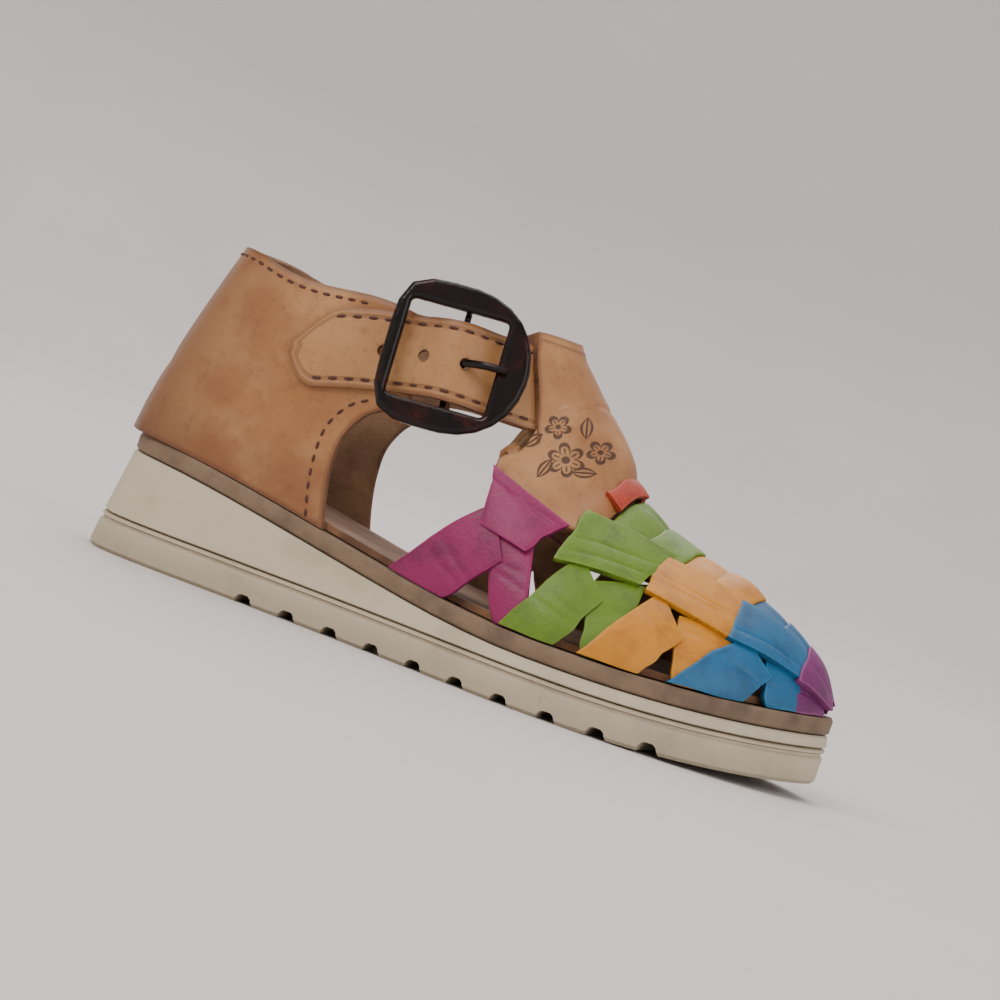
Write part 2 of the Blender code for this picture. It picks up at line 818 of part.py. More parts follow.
def strap_grid():
    """Grid of the ankle strap from its pointed tip round to the big-toe side."""
    start = strap_angle(STRAP_TIP, -1)
    end = math.pi / 2
    angles = [start + (end - start) * i / STRAP_COLUMNS for i in range(STRAP_COLUMNS + 1)]
    middle = [ring_point(angle, strap_level(0.5)) for angle in angles]
    steps = np.linalg.norm(np.diff(np.array(middle), axis=0), axis=1)
    run = np.concatenate([[0.0], np.cumsum(steps)])
    grid = []
    for share in (0.0, 0.5, 1.0):
        row = []
        for angle, far in zip(angles, run):
            point_share = min(1.0, far / STRAP_TIP_RUN)
            width = max(STRAP_POINT_SHARE, 1.0 - (1.0 - point_share) ** 2)
            row.append(ring_point(angle, strap_level(0.5 + (share - 0.5) * width)))
        grid.append(row)
    return np.array(grid), np.array([strap_lift(p) for p in middle])


def vamp_grid():
    """Grid of the T-strap from its toe end up to the strap loop."""
    grid = []
    for row in VAMP_ROWS:
        line = []
        for j in range(-VAMP_COLUMNS, VAMP_COLUMNS + 1):
            share = abs(j) / VAMP_COLUMNS
            along = (row.ridge + (row.edge - row.ridge) * share) * SOLE_LENGTH
            climb = 1.0 + (row.climb - 1.0) * share
            line.append(foot_point(along, climb if j < 0 else 2.0 - climb))
        grid.append(line)
    return np.array(grid)


def loop_grid(low, high, rows, low_angle, high_angle):
    """Grid of the neck of the T-strap between two heights."""
    grid = []
    for i in range(rows + 1):
        height = low + (high - low) * i / rows
        reach = low_angle + (high_angle - low_angle) * i / rows
        angles = [reach * (j / LOOP_COLUMNS - 1) for j in range(2 * LOOP_COLUMNS + 1)]
        grid.append([ring_point(angle, lambda along: height) for angle in angles])
    return np.array(grid)


def loop_lift(point):
    """Lift of the T-strap's neck over the last, with its rise over the ankle strap."""
    low = strap_level(0.0)(point[0])
    over = COUNTER_WALL + STRAP_WALL - 2 * STRAP_LAP + LOOP_SINK
    return over * ease(low - LOOP_RAMP, low, point[2]) - LOOP_SINK


def strip_grid(strip, side_sign):
    """Grid of one woven strip on either side of the foot."""
    grid = []
    for i in range(STRIP_ROWS + 1):
        t = i / STRIP_ROWS
        row = []
        for j in range(STRIP_COLUMNS + 1):
            s = j / STRIP_COLUMNS
            low = np.array(strip.rear_low) * (1 - t) + np.array(strip.front_low) * t
            high = np.array(strip.rear_high) * (1 - t) + np.array(strip.front_high) * t
            along, climb = low * (1 - s) + high * s
            row.append(foot_point(along * SOLE_LENGTH, climb if side_sign < 0 else 2.0 - climb))
        grid.append(row)
    return np.array(grid)


def crown_grid(strip):
    """Grid of one strip over the top line."""
    grid = []
    for i in range(3):
        t = i / 2
        row = []
        for j in range(-4, 5):
            share = abs(j) / 4
            along = strip.rear + (strip.front - strip.rear) * t + strip.sweep * share
            climb = 1.0 + (strip.climb - 1.0) * share
            row.append(foot_point(along * SOLE_LENGTH, climb if j < 0 else 2.0 - climb))
        grid.append(row)
    return np.array(grid)


def strip_lift(layer):
    """Lift of a strip's layer over the last."""
    return STRIP_STEP * layer


def upper_sheets(sheets):
    """All leather sheets of the upper, before they are joined."""
    made = [sheet("counter", counter_grid(), 0.0, COUNTER_WALL, sheets)]
    strap, lift = strap_grid()
    made.append(sheet("ankle_strap", strap, lift, STRAP_WALL, sheets))
    made.append(sheet("vamp", vamp_grid(), 0.0, VAMP_WALL, sheets))
    middle = LOOP_TOP - LOOP_CAP / 2
    neck = loop_grid(LOOP_LOW, middle, 7, LOOP_LOW_ANGLE, LOOP_TOP_ANGLE)
    lift = np.array([[loop_lift(point) for point in row] for row in neck])
    made.append(sheet("neck", neck, lift, VAMP_WALL, sheets))
    back = loop_grid(LOOP_BACK_LOW, middle, 3, LOOP_BACK_ANGLE, LOOP_BACK_ANGLE)
    made.append(sheet("loop_back", back, LOOP_BACK_LIFT, LOOP_BACK_WALL, sheets))
    fold = COUNTER_WALL + STRAP_WALL + VAMP_WALL - 3 * STRAP_LAP
    cap = loop_grid(LOOP_TOP - LOOP_CAP, LOOP_TOP, 2, LOOP_BACK_ANGLE, LOOP_BACK_ANGLE)
    made.append(sheet("loop_fold", cap, 2 * LOOP_BACK_LIFT, fold - LOOP_BACK_LIFT, sheets))
    colours = {"magenta": MAGENTA, "green": GREEN, "yellow": YELLOW, "blue": BLUE}
    for colour, strips in colours.items():
        for number, strip in enumerate(strips):
            for sign, side in ((-1, "near"), (1, "far")):
                name = f"{colour}_{number + 1}_{side}"
                grid = strip_grid(strip, sign)
                made.append(sheet(name, grid, strip_lift(strip.layer), STRIP_WALL, sheets))
    for number, strip in enumerate(CROWN_STRIPS):
        lift = strip_lift(strip.layer) + STRIP_STEP / 3
        made.append(sheet(f"crown_{number + 1}", crown_grid(strip), lift, STRIP_WALL, sheets))
    return made


def as_mesh(source, name, collection):
    """Closed mesh object made from the evaluated source, which is removed."""
    depsgraph = bpy.context.evaluated_depsgraph_get()
    depsgraph.update()
    mesh = bpy.data.meshes.new_from_object(source.evaluated_get(depsgraph))
    if source.type == "CURVE":
        bm = bmesh.new()
        bm.from_mesh(mesh)
        bmesh.ops.remove_doubles(bm, verts=bm.verts, dist=1e-7)
        bm.to_mesh(mesh)
        bm.free()
    made = bpy.data.objects.new(name, mesh)
    made.matrix_world = source.matrix_world
    collection.objects.link(made)
    bpy.data.objects.remove(source)
    return made


def fill_pockets(mesh):
    """Remove the shells of air left between joined sheets, and specks of no volume."""
    bm = bmesh.new()
    bm.from_mesh(mesh)
    todo = set(bm.faces)
    while todo:
        shell = {todo.pop()}
        edge_of_shell = list(shell)
        while edge_of_shell:
            face = edge_of_shell.pop()
            near = {other for edge in face.edges for other in edge.link_faces} & todo
            todo -= near
            shell |= near
            edge_of_shell += near
        volume = 0.0
        for face in shell:
            first = face.verts[0].co
            for second, third in zip(face.verts[1:-1], face.verts[2:]):
                volume += first.dot(second.co.cross(third.co)) / 6
        if volume < SPECK_VOLUME:
            bmesh.ops.delete(bm, geom=list(shell), context="FACES")
    bm.to_mesh(mesh)
    bm.free()


def buckle_frame():
    """Matrix of the buckle and the height of the leather that it rests on.

    The matrix's X runs forward, its Y up the strap and its Z outward.
    """
    def at(along):
        angle = strap_angle(along, -1)
        low = ring_point(angle, strap_level(0.0))
        high = ring_point(angle, strap_level(1.0))
        return (low + high) / 2, high - low
    rear, rear_up = at(BUCKLE_ALONG - 0.8 * BUCKLE_BACK)
    front, front_up = at(BUCKLE_ALONG + 0.8 * BUCKLE_FRONT * 0.85)
    centre, _ = at(BUCKLE_ALONG)
    forward = Vector(front - rear).normalized()
    outward = forward.cross(Vector(rear_up + front_up)).normalized()
    up = outward.cross(forward)
    shift = Vector((centre[0] - CENTRE[0], centre[1] - CENTRE[1], centre[2]))
    frame = Matrix((forward, up, outward)).transposed().to_4x4()
    frame.translation = shift
    return frame, buckle_seat(frame)


def buckle_seat(frame):
    """Height in the buckle's matrix of the highest leather under its two ends."""
    rear = strap_angle(BUCKLE_ALONG - BUCKLE_BACK, -1)
    front = strap_angle(BUCKLE_ALONG + BUCKLE_FRONT, -1)
    angles = [rear + (front - rear) * i / SEAT_STEPS for i in range(SEAT_STEPS + 1)]
    shares = [i / SEAT_ROWS for i in range(SEAT_ROWS + 1)]
    strap = np.array([[ring_point(a, strap_level(share)) for a in angles] for share in shares])
    strap_over = [[strap_lift(p) + STRAP_WALL for p in row] for row in strap]
    neck = loop_grid(LOOP_LOW, LOOP_TOP, SEAT_STEPS, LOOP_LOW_ANGLE, LOOP_TOP_ANGLE)
    neck_over = [[loop_lift(p) + VAMP_WALL for p in row] for row in neck]
    heights = [0.0]
    for grid, over in ((strap, strap_over), (neck, neck_over)):
        skin = grid + grid_normals(grid) * np.array(over)[:, :, None]
        for point in skin.reshape(-1, 3):
            place = Vector((point[0] - CENTRE[0], point[1] - CENTRE[1], point[2]))
            x, y, z = frame.inverted() @ place
            rear_end = -BUCKLE_BACK - BUCKLE_REST < x < -WINDOW_BACK + BUCKLE_REST
            front_end = WINDOW_FRONT - BUCKLE_REST < x < BUCKLE_FRONT + BUCKLE_REST
            if (rear_end or front_end) and abs(y) < BUCKLE_HALF_HEIGHT:
                heights.append(z)
    return max(heights)


def buckle_outline():
    """Outer edge of the frame: squarish behind the bar, round in front."""
    points = []
    for i in range(28):
        angle = 2 * math.pi * (i + 0.5) / 28
        x, y = math.cos(angle), math.sin(angle)
        power = 2.2 if x > 0 else 5.0
        reach = BUCKLE_FRONT if x > 0 else BUCKLE_BACK
        size = (abs(x) ** power + abs(y) ** power) ** (-1.0 / power)
        points.append((reach * x * size, BUCKLE_HALF_HEIGHT * y * size))
    return points


def window_outline():
    """Inner edge of the frame: a rectangle with small round corners."""
    radius = 2 * BUCKLE_ROUND
    points = []
    corners = (
        (WINDOW_FRONT - radius, WINDOW_HALF_HEIGHT - radius, 0),
        (-WINDOW_BACK + radius, WINDOW_HALF_HEIGHT - radius, 1),
        (-WINDOW_BACK + radius, -WINDOW_HALF_HEIGHT + radius, 2),
        (WINDOW_FRONT - radius, -WINDOW_HALF_HEIGHT + radius, 3),
    )
    for x, y, quarter in corners:
        for step in range(3):
            angle = math.pi / 2 * (quarter + step / 2)
            points.append((x + radius * math.cos(angle), y + radius * math.sin(angle)))
    return points


def flat_curve(name, outlines, thickness, bevel, collection):
    """Filled flat outline with thickness and rounded edges."""
    data = bpy.data.curves.new(name, "CURVE")
    data.dimensions = "2D"
    data.fill_mode = "BOTH"
    data.extrude = thickness / 2 - bevel
    data.bevel_depth = bevel
    data.bevel_resolution = 0
    for outline in outlines:
        spline = data.splines.new("POLY")
        spline.points.add(len(outline) - 1)
        for point, (x, y) in zip(spline.points, outline):
            point.co = (x, y, 0.0, 1.0)
        spline.use_cyclic_u = True
    made = bpy.data.objects.new(name, data)
    collection.objects.link(made)
    return made


def shrink(outline, amount):
    """Outline moved toward its middle to make room for a bevel."""
    return [(x - math.copysign(min(abs(x), amount), x),
             y - math.copysign(min(abs(y), amount), y)) for x, y in outline]


def grow(outline, amount):
    """Outline moved away from its middle to make room for a bevel."""
    return [(x + math.copysign(amount, x), y + math.copysign(amount, y)) for x, y in outline]


def rod(name, radius, start, end, collection, sides=12):
    """Cylinder between two points, from a primitive cone."""
    start, end = Vector(start), Vector(end)
    mesh = bpy.data.meshes.new(name)
    bm = bmesh.new()
    bmesh.ops.create_cone(bm, cap_ends=True, segments=sides, radius1=radius, radius2=radius,
                          depth=(end - start).length)
    bm.to_mesh(mesh)
    bm.free()
    made = bpy.data.objects.new(name, mesh)
    turn = (end - start).to_track_quat("Z", "Y").to_matrix().to_4x4()
    made.matrix_world = Matrix.Translation((start + end) / 2) @ turn
    collection.objects.link(made)
    return hide(made)


def bar_lift():
    """Height of the buckle bar's axis over the last."""
    return BAR_RADIUS + RUNNING_GAP + CHAPE_WALL


def frame_lift(seat):
    """Height of the frame's middle plane over the last at the bar."""
    return seat + BUCKLE_REST + BUCKLE_THICKNESS / 2


def make_buckle(collection, cutters, frame, seat, look):
    """Buckle frame with its hidden middle bar on two short posts."""
    outline = shrink(buckle_outline(), BUCKLE_ROUND)
    window = grow(window_outline(), BUCKLE_ROUND)
    curve = flat_curve("frame_curve", (outline, window), BUCKLE_THICKNESS, BUCKLE_ROUND, cutters)
    curve.matrix_world = frame @ Matrix.Translation((0.0, 0.0, frame_lift(seat)))
    buckle = as_mesh(curve, "buckle_frame", collection)
    buckle.data.materials.append(look)
    reach = WINDOW_HALF_HEIGHT + BUCKLE_ROUND + BAR_RADIUS
    ends = [frame @ Vector((0.0, sign * reach, bar_lift())) for sign in (-1, 1)]
    cut(buckle, rod("bar", BAR_RADIUS, ends[0], ends[1], cutters, 10), "UNION")
    for number, sign in enumerate((-1, 1)):
        low = frame @ Vector((0.0, sign * (reach - BAR_RADIUS), bar_lift() - BAR_RADIUS * 0.9))
        high = frame @ Vector((0.0, sign * (reach - BAR_RADIUS), frame_lift(seat)))
        cut(buckle, rod(f"post_{number + 1}", BAR_RADIUS * 0.95, low, high, cutters, 8), "UNION")
    return buckle


def chape_parts(frame, sheets, cutters):
    """Leather end that holds the buckle's bar: a tongue and a split roll."""
    outer = bar_lift()
    inner = BAR_RADIUS + RUNNING_GAP
    half = CHAPE_WIDTH / 2
    axis = [frame @ Vector((0.0, sign * half, outer)) for sign in (-1, 1)]
    roll = rod("roll", outer, axis[0], axis[1], sheets, 16)
    start, end = strap_angle(STRAP_TIP * 1.75, -1), strap_angle(BUCKLE_ALONG, -1)
    grid = []
    for share in (0.04, 0.5, 0.96):
        angles = [start + (end - start) * i / 6 for i in range(7)]
        grid.append([ring_point(angle, strap_level(share)) for angle in angles])
    tongue = sheet("tongue", np.array(grid), STRAP_LAP, 1.2 * CHAPE_WALL, sheets)
    far = [frame @ Vector((0.0, sign * (half + outer), outer)) for sign in (-1, 1)]
    bore = rod("bore", inner, far[0], far[1], cutters, 16)
    slot_size = (3.1 * outer, CHAPE_SLOT, 6 * outer)
    slot = box("slot", slot_size, (CENTRE[0], CENTRE[1], 0.0), 0.0, cutters)
    slot.matrix_world = frame @ Matrix.Translation((0.20 * outer, 0.0, outer * 0.55))
    return [roll, tongue], [bore, slot]


def hole_cutters(cutters):
    """Punched holes of the strap, the front one for the prong."""
    holes = []
    prong_place = BUCKLE_ALONG + PRONG_HOLE_LEAD
    for number in range(3):
        along = prong_place - number * HOLE_PITCH
        angle = strap_angle(along, -1)
        low = ring_point(angle, strap_level(0.0))
        high = ring_point(angle, strap_level(1.0))
        middle = Vector((low + high) / 2 - np.array([CENTRE[0], CENTRE[1], 0.0]))
        up = Vector(high - low).normalized()
        ahead = Vector(ring_point(angle - 0.05, strap_level(0.5)))
        ahead -= Vector(ring_point(angle + 0.05, strap_level(0.5)))
        outward = ahead.cross(up).normalized()
        if outward.y > 0.0:
            outward = -outward
        radius = HOLE_RADIUS if number else PRONG_RADIUS + 2 * FIT_GAP
        lift = strap_lift(np.array([along, -1.0])) if number == 0 else COUNTER_WALL
        start = middle + outward * (lift - 2 * STRAP_LAP)
        holes.append(rod(f"hole_{number + 1}", radius, start, start + outward * HOLE_DEPTH, cutters, 12))
    return holes


def make_upper(collection, sheets, cutters, frame, look):
    """One hollow upper: heel counter, straps and weave joined where they cross."""
    pieces = upper_sheets(sheets)
    added, cuts = chape_parts(frame, sheets, cutters)
    for piece in pieces[1:] + added:
        cut(pieces[0], piece, "UNION").solver = "MANIFOLD"
    upper = as_mesh(pieces[0], "upper", collection)
    fill_pockets(upper.data)
    for cutter in cuts + hole_cutters(cutters):
        cut(upper, cutter)
    upper.data.materials.append(look)
    return upper


def make_prong(collection, cutters, frame, seat, look):
    """Buckle prong: a loop round the bar and an arm onto the frame."""
    axis_height = bar_lift()
    inner = BAR_RADIUS + RUNNING_GAP
    outer = inner + PRONG_LOOP_WALL
    half = PRONG_LOOP_WIDTH / 2
    ends = [frame @ Vector((0.0, sign * half, axis_height)) for sign in (-1, 1)]
    loop = rod("prong", outer, ends[0], ends[1], collection, 16)
    loop.hide_render = False
    loop.display_type = "TEXTURED"
    loop.name = "buckle_prong"
    loop.data.materials.append(look)
    rest = frame_lift(seat) + BUCKLE_THICKNESS / 2 + FIT_GAP + PRONG_RADIUS
    crest = strap_lift(np.array([BUCKLE_ALONG, -1.0])) + STRAP_WALL + PRONG_RADIUS
    path = (
        (0.25 * outer, axis_height + 0.4 * outer),
        (PRONG_RISE, crest - 2.0 * PRONG_RADIUS),
        (PRONG_RISE + 0.45 * PRONG_RADIUS, crest),
        (PRONG_BEND, crest + 1.3 * PRONG_RADIUS),
        (PRONG_FALL, max(crest + 0.8 * PRONG_RADIUS, rest)),
        (WINDOW_FRONT + PRONG_TIP, rest),
    )
    data = bpy.data.curves.new("prong_arm", "CURVE")
    data.dimensions = "3D"
    data.bevel_depth = PRONG_RADIUS
    data.bevel_resolution = 2
    data.use_fill_caps = True
    spline = data.splines.new("POLY")
    spline.points.add(len(path) - 1)
    for point, (x, z) in zip(spline.points, path):
        point.co = (x, 0.0, z, 1.0)
    arm = bpy.data.objects.new("prong_arm", data)
    cutters.objects.link(arm)
    arm.matrix_world = frame
    arm = hide(as_mesh(arm, "prong_arm_mesh", cutters))
    cut(loop, arm, "UNION")
    far = [frame @ Vector((0.0, sign * 3 * half, axis_height)) for sign in (-1, 1)]
    cut(loop, rod("prong_bore", inner, far[0], far[1], cutters, 16))
    return loop


def main():
    """Build the sandal."""
    for existing in list(bpy.data.objects):
        bpy.data.objects.remove(existing)
    parts = new_collection("huarache_sandal")
    sheets = new_collection("leather_sheets")
    cutters = new_collection("cutters")
    foam = material("foam", (0.55, 0.48, 0.37), 0.75)
    band = material("welt_leather", (0.24, 0.17, 0.11), 0.70)
    leather = material("tan_leather", (0.42, 0.21, 0.10), 0.55)
    suede = material("insole_leather", (0.36, 0.24, 0.15), 0.85)
    dark = material("dark_buckle", (0.03, 0.012, 0.010), 0.25)
    make_outsole(parts, cutters, foam)
    make_wedge(parts, foam)
    make_welt(parts, band)
    make_insole(parts, suede)
    frame, seat = buckle_frame()
    make_upper(parts, sheets, cutters, frame, leather)
    make_buckle(parts, cutters, frame, seat, dark)
    make_prong(parts, cutters, frame, seat, dark)


main()
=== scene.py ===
"""Looks of the woven leather sandal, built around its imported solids.

Each leather piece is laid on the shape of the last, given its real wall, and
finished with its own leather. The sole, insole and buckle keep the shapes of
their solids, with smooth shading and their own finishes.
"""

import logging
import math
from dataclasses import dataclass, field
from enum import Enum

import bpy
import numpy as np
from mathutils import Matrix, Vector


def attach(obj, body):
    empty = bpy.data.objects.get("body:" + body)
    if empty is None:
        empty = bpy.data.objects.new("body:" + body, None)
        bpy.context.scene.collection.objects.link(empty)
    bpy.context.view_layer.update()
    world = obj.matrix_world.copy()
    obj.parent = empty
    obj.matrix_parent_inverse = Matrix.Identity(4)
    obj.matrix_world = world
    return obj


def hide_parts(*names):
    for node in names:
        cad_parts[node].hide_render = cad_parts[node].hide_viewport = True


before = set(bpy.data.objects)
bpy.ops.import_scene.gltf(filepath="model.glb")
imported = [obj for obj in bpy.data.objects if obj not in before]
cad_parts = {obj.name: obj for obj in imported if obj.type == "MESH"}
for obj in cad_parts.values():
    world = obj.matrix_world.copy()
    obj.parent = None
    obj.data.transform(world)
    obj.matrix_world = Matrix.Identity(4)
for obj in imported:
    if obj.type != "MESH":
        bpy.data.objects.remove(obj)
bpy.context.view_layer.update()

BODY = "root"
MM = 0.001
COAT_ROUGHNESS = 0.25
SMOOTH_ANGLE = math.radians(40)

# Stamp on the T-strap: places along and up in metres, petals, radius in millimetres, turn
FLOWERS = ((0.0138, 0.0528, 6, 3.4), (0.0098, 0.0590, 5, 2.3), (0.0192, 0.0568, 5, 2.3))
FLOWER_TURN = 0.60
LEAVES = ((0.0060, 0.0545, 2.2), (0.0180, 0.0515, -0.3), (0.0148, 0.0608, 1.2),
          (0.0105, 0.0497, -1.3))
LEAF_REACH = 2.4

log = logging.getLogger("sandal")


# Shader expressions


class Shade:
    """A number, vector or colour socket that takes part in Python arithmetic."""

    def __init__(self, tree: bpy.types.NodeTree, socket: bpy.types.NodeSocket) -> None:
        """Wrap an output socket of the tree."""
        self.tree = tree
        self.socket = socket

    def _math(self, operation: str, *values: object) -> "Shade":
        """Add one Math node.

        Args:
            operation: the Math node's operation.
            values: numbers or Shades for its inputs.

        Returns:
            The node's result.
        """
        node = self.tree.nodes.new("ShaderNodeMath")
        node.operation = operation
        for slot, value in zip(node.inputs, values):
            if isinstance(value, Shade):
                self.tree.links.new(value.socket, slot)
            else:
                slot.default_value = float(value)
        return Shade(self.tree, node.outputs[0])

    def __add__(self, other: object) -> "Shade":
        """Sum."""
        return self._math("ADD", self, other)

    __radd__ = __add__

    def __sub__(self, other: object) -> "Shade":
        """Difference."""
        return self._math("SUBTRACT", self, other)

    def __rsub__(self, other: object) -> "Shade":
        """Difference from a number."""
        return self._math("SUBTRACT", other, self)

    def __mul__(self, other: object) -> "Shade":
        """Product."""
        return self._math("MULTIPLY", self, other)

    __rmul__ = __mul__

    def __truediv__(self, other: object) -> "Shade":
        """Quotient."""
        return self._math("DIVIDE", self, other)

    def __pow__(self, other: object) -> "Shade":
        """Power."""
        return self._math("POWER", self, other)

    def __abs__(self) -> "Shade":
        """Absolute value."""
        return self._math("ABSOLUTE", self)

    def sine(self) -> "Shade":
        """Sine of radians."""
        return self._math("SINE", self)

    def least(self, other: object) -> "Shade":
        """Smaller of two values."""
        return self._math("MINIMUM", self, other)

    def most(self, other: object) -> "Shade":
        """Larger of two values."""
        return self._math("MAXIMUM", self, other)

    def step(self, low: float, high: float) -> "Shade":
        """Rise smoothly from 0 at low to 1 at high.

        Args:
            low: value that gives 0.
            high: value that gives 1; lower than low for a fall.

        Returns:
            The eased share.
        """
        share = ((self - low) / (high - low)).most(0.0).least(1.0)
        return share * share * (3.0 - 2.0 * share)

    def band(self, middle: float, half: float) -> "Shade":
        """One inside a soft band around the middle, 0 outside."""
        return 1.0 - abs(self - middle).step(half * 0.4, half)


class FinishTree:
    """Node tree of one finish, with its Principled shader."""

    def __init__(self, name: str) -> None:
        """Start an empty finish with the given name."""
        self.material = bpy.data.materials.new(name)
        self.material.use_nodes = True
        self.tree = self.material.node_tree
        self.shader = self.tree.nodes["Principled BSDF"]

    def add(self, kind: str, settings: dict | None = None, inputs: dict | None = None,
            output: int | str = 0) -> Shade:
        """Add any node.

        Args:
            kind: the node's type.
            settings: its settings.
            inputs: numbers, tuples or Shades for its sockets.
            output: which output is returned.

        Returns:
            The chosen output.
        """
        node = self.tree.nodes.new(kind)
        for name, value in (settings or {}).items():
            setattr(node, name, value)
        for name, value in (inputs or {}).items():
            if isinstance(value, Shade):
                self.tree.links.new(value.socket, node.inputs[name])
            else:
                node.inputs[name].default_value = value
        return Shade(self.tree, node.outputs[output])

    def place(self) -> Shade:
        """Object coordinates, in metres."""
        return self.add("ShaderNodeTexCoord", output="Object")

    def parts(self, vector: Shade) -> tuple[Shade, Shade, Shade]:
        """Split a vector into its three numbers."""
        node = self.tree.nodes.new("ShaderNodeSeparateXYZ")
        self.tree.links.new(vector.socket, node.inputs[0])
        return tuple(Shade(self.tree, out) for out in node.outputs)

    def noise(self, vector: Shade, size_mm: float, detail: float = 3.0,
              rough: float = 0.55) -> Shade:
        """Noise between 0 and 1 whose blotches have the given size."""
        inputs = {"Vector": vector, "Scale": 1.0 / (size_mm * MM), "Detail": detail,
                  "Roughness": rough}
        return self.add("ShaderNodeTexNoise", None, inputs)

    def cells(self, vector: Shade, size_mm: float) -> Shade:
        """Distance to the nearest cell point, for leather grain."""
        inputs = {"Vector": vector, "Scale": 1.0 / (size_mm * MM)}
        return self.add("ShaderNodeTexVoronoi", {"feature": "F1"}, inputs, "Distance")

    def value(self, name: str) -> Shade:
        """Number stored on the mesh under a name."""
        return self.add("ShaderNodeAttribute", {"attribute_name": name}, None, "Fac")

    def mix(self, share: object, low: object, high: object) -> Shade:
        """Blend two colours.

        Args:
            share: 0 for low, 1 for high.
            low: colour tuple or Shade.
            high: colour tuple or Shade.

        Returns:
            The blended colour.
        """
        node = self.tree.nodes.new("ShaderNodeMix")
        node.data_type = "RGBA"
        for slot, value in ((0, share), (6, low), (7, high)):
            if isinstance(value, Shade):
                self.tree.links.new(value.socket, node.inputs[slot])
            elif slot:
                node.inputs[slot].default_value = (*value, 1.0)
            else:
                node.inputs[slot].default_value = value
        return Shade(self.tree, node.outputs[2])

    def finish(self, colour: object, roughness: object, height: Shade | None = None,
               depth_mm: float = 0.1, coat: float = 0.0, sheen: float = 0.0,
               shine: float = 0.5) -> bpy.types.Material:
        """Connect the shader.

        Args:
            colour: colour tuple or Shade.
            roughness: number or Shade.
            height: surface relief from 0 to 1.
            depth_mm: depth of the relief.
            coat: clear coat weight.
            sheen: sheen weight of soft fibres.
            shine: strength of plain reflections, 0.5 for most surfaces.

        Returns:
            The finished material.
        """
        for name, value in (("Base Color", colour), ("Roughness", roughness)):
            if isinstance(value, Shade):
                self.tree.links.new(value.socket, self.shader.inputs[name])
            elif name == "Base Color":
                self.shader.inputs[name].default_value = (*value, 1.0)
            else:
                self.shader.inputs[name].default_value = value
        self.shader.inputs["Coat Weight"].default_value = coat
        self.shader.inputs["Coat Roughness"].default_value = COAT_ROUGHNESS
        self.shader.inputs["Sheen Weight"].default_value = sheen
        self.shader.inputs["Specular IOR Level"].default_value = shine
        if height is not None:
            bump = self.add("ShaderNodeBump", None, {"Height": height,
                                                     "Distance": depth_mm * MM,
                                                     "Strength": 1.0})
            self.tree.links.new(bump.socket, self.shader.inputs["Normal"])
        return self.material


Colour = tuple[float, float, float]


def paint(red: int, green: int, blue: int) -> Colour:
    """Linear colour of a screen colour from 0 to 255."""
    return tuple(((c / 255 + 0.055) / 1.055) ** 2.4 if c > 10 else c / 3295
                 for c in (red, green, blue))


# Finishes


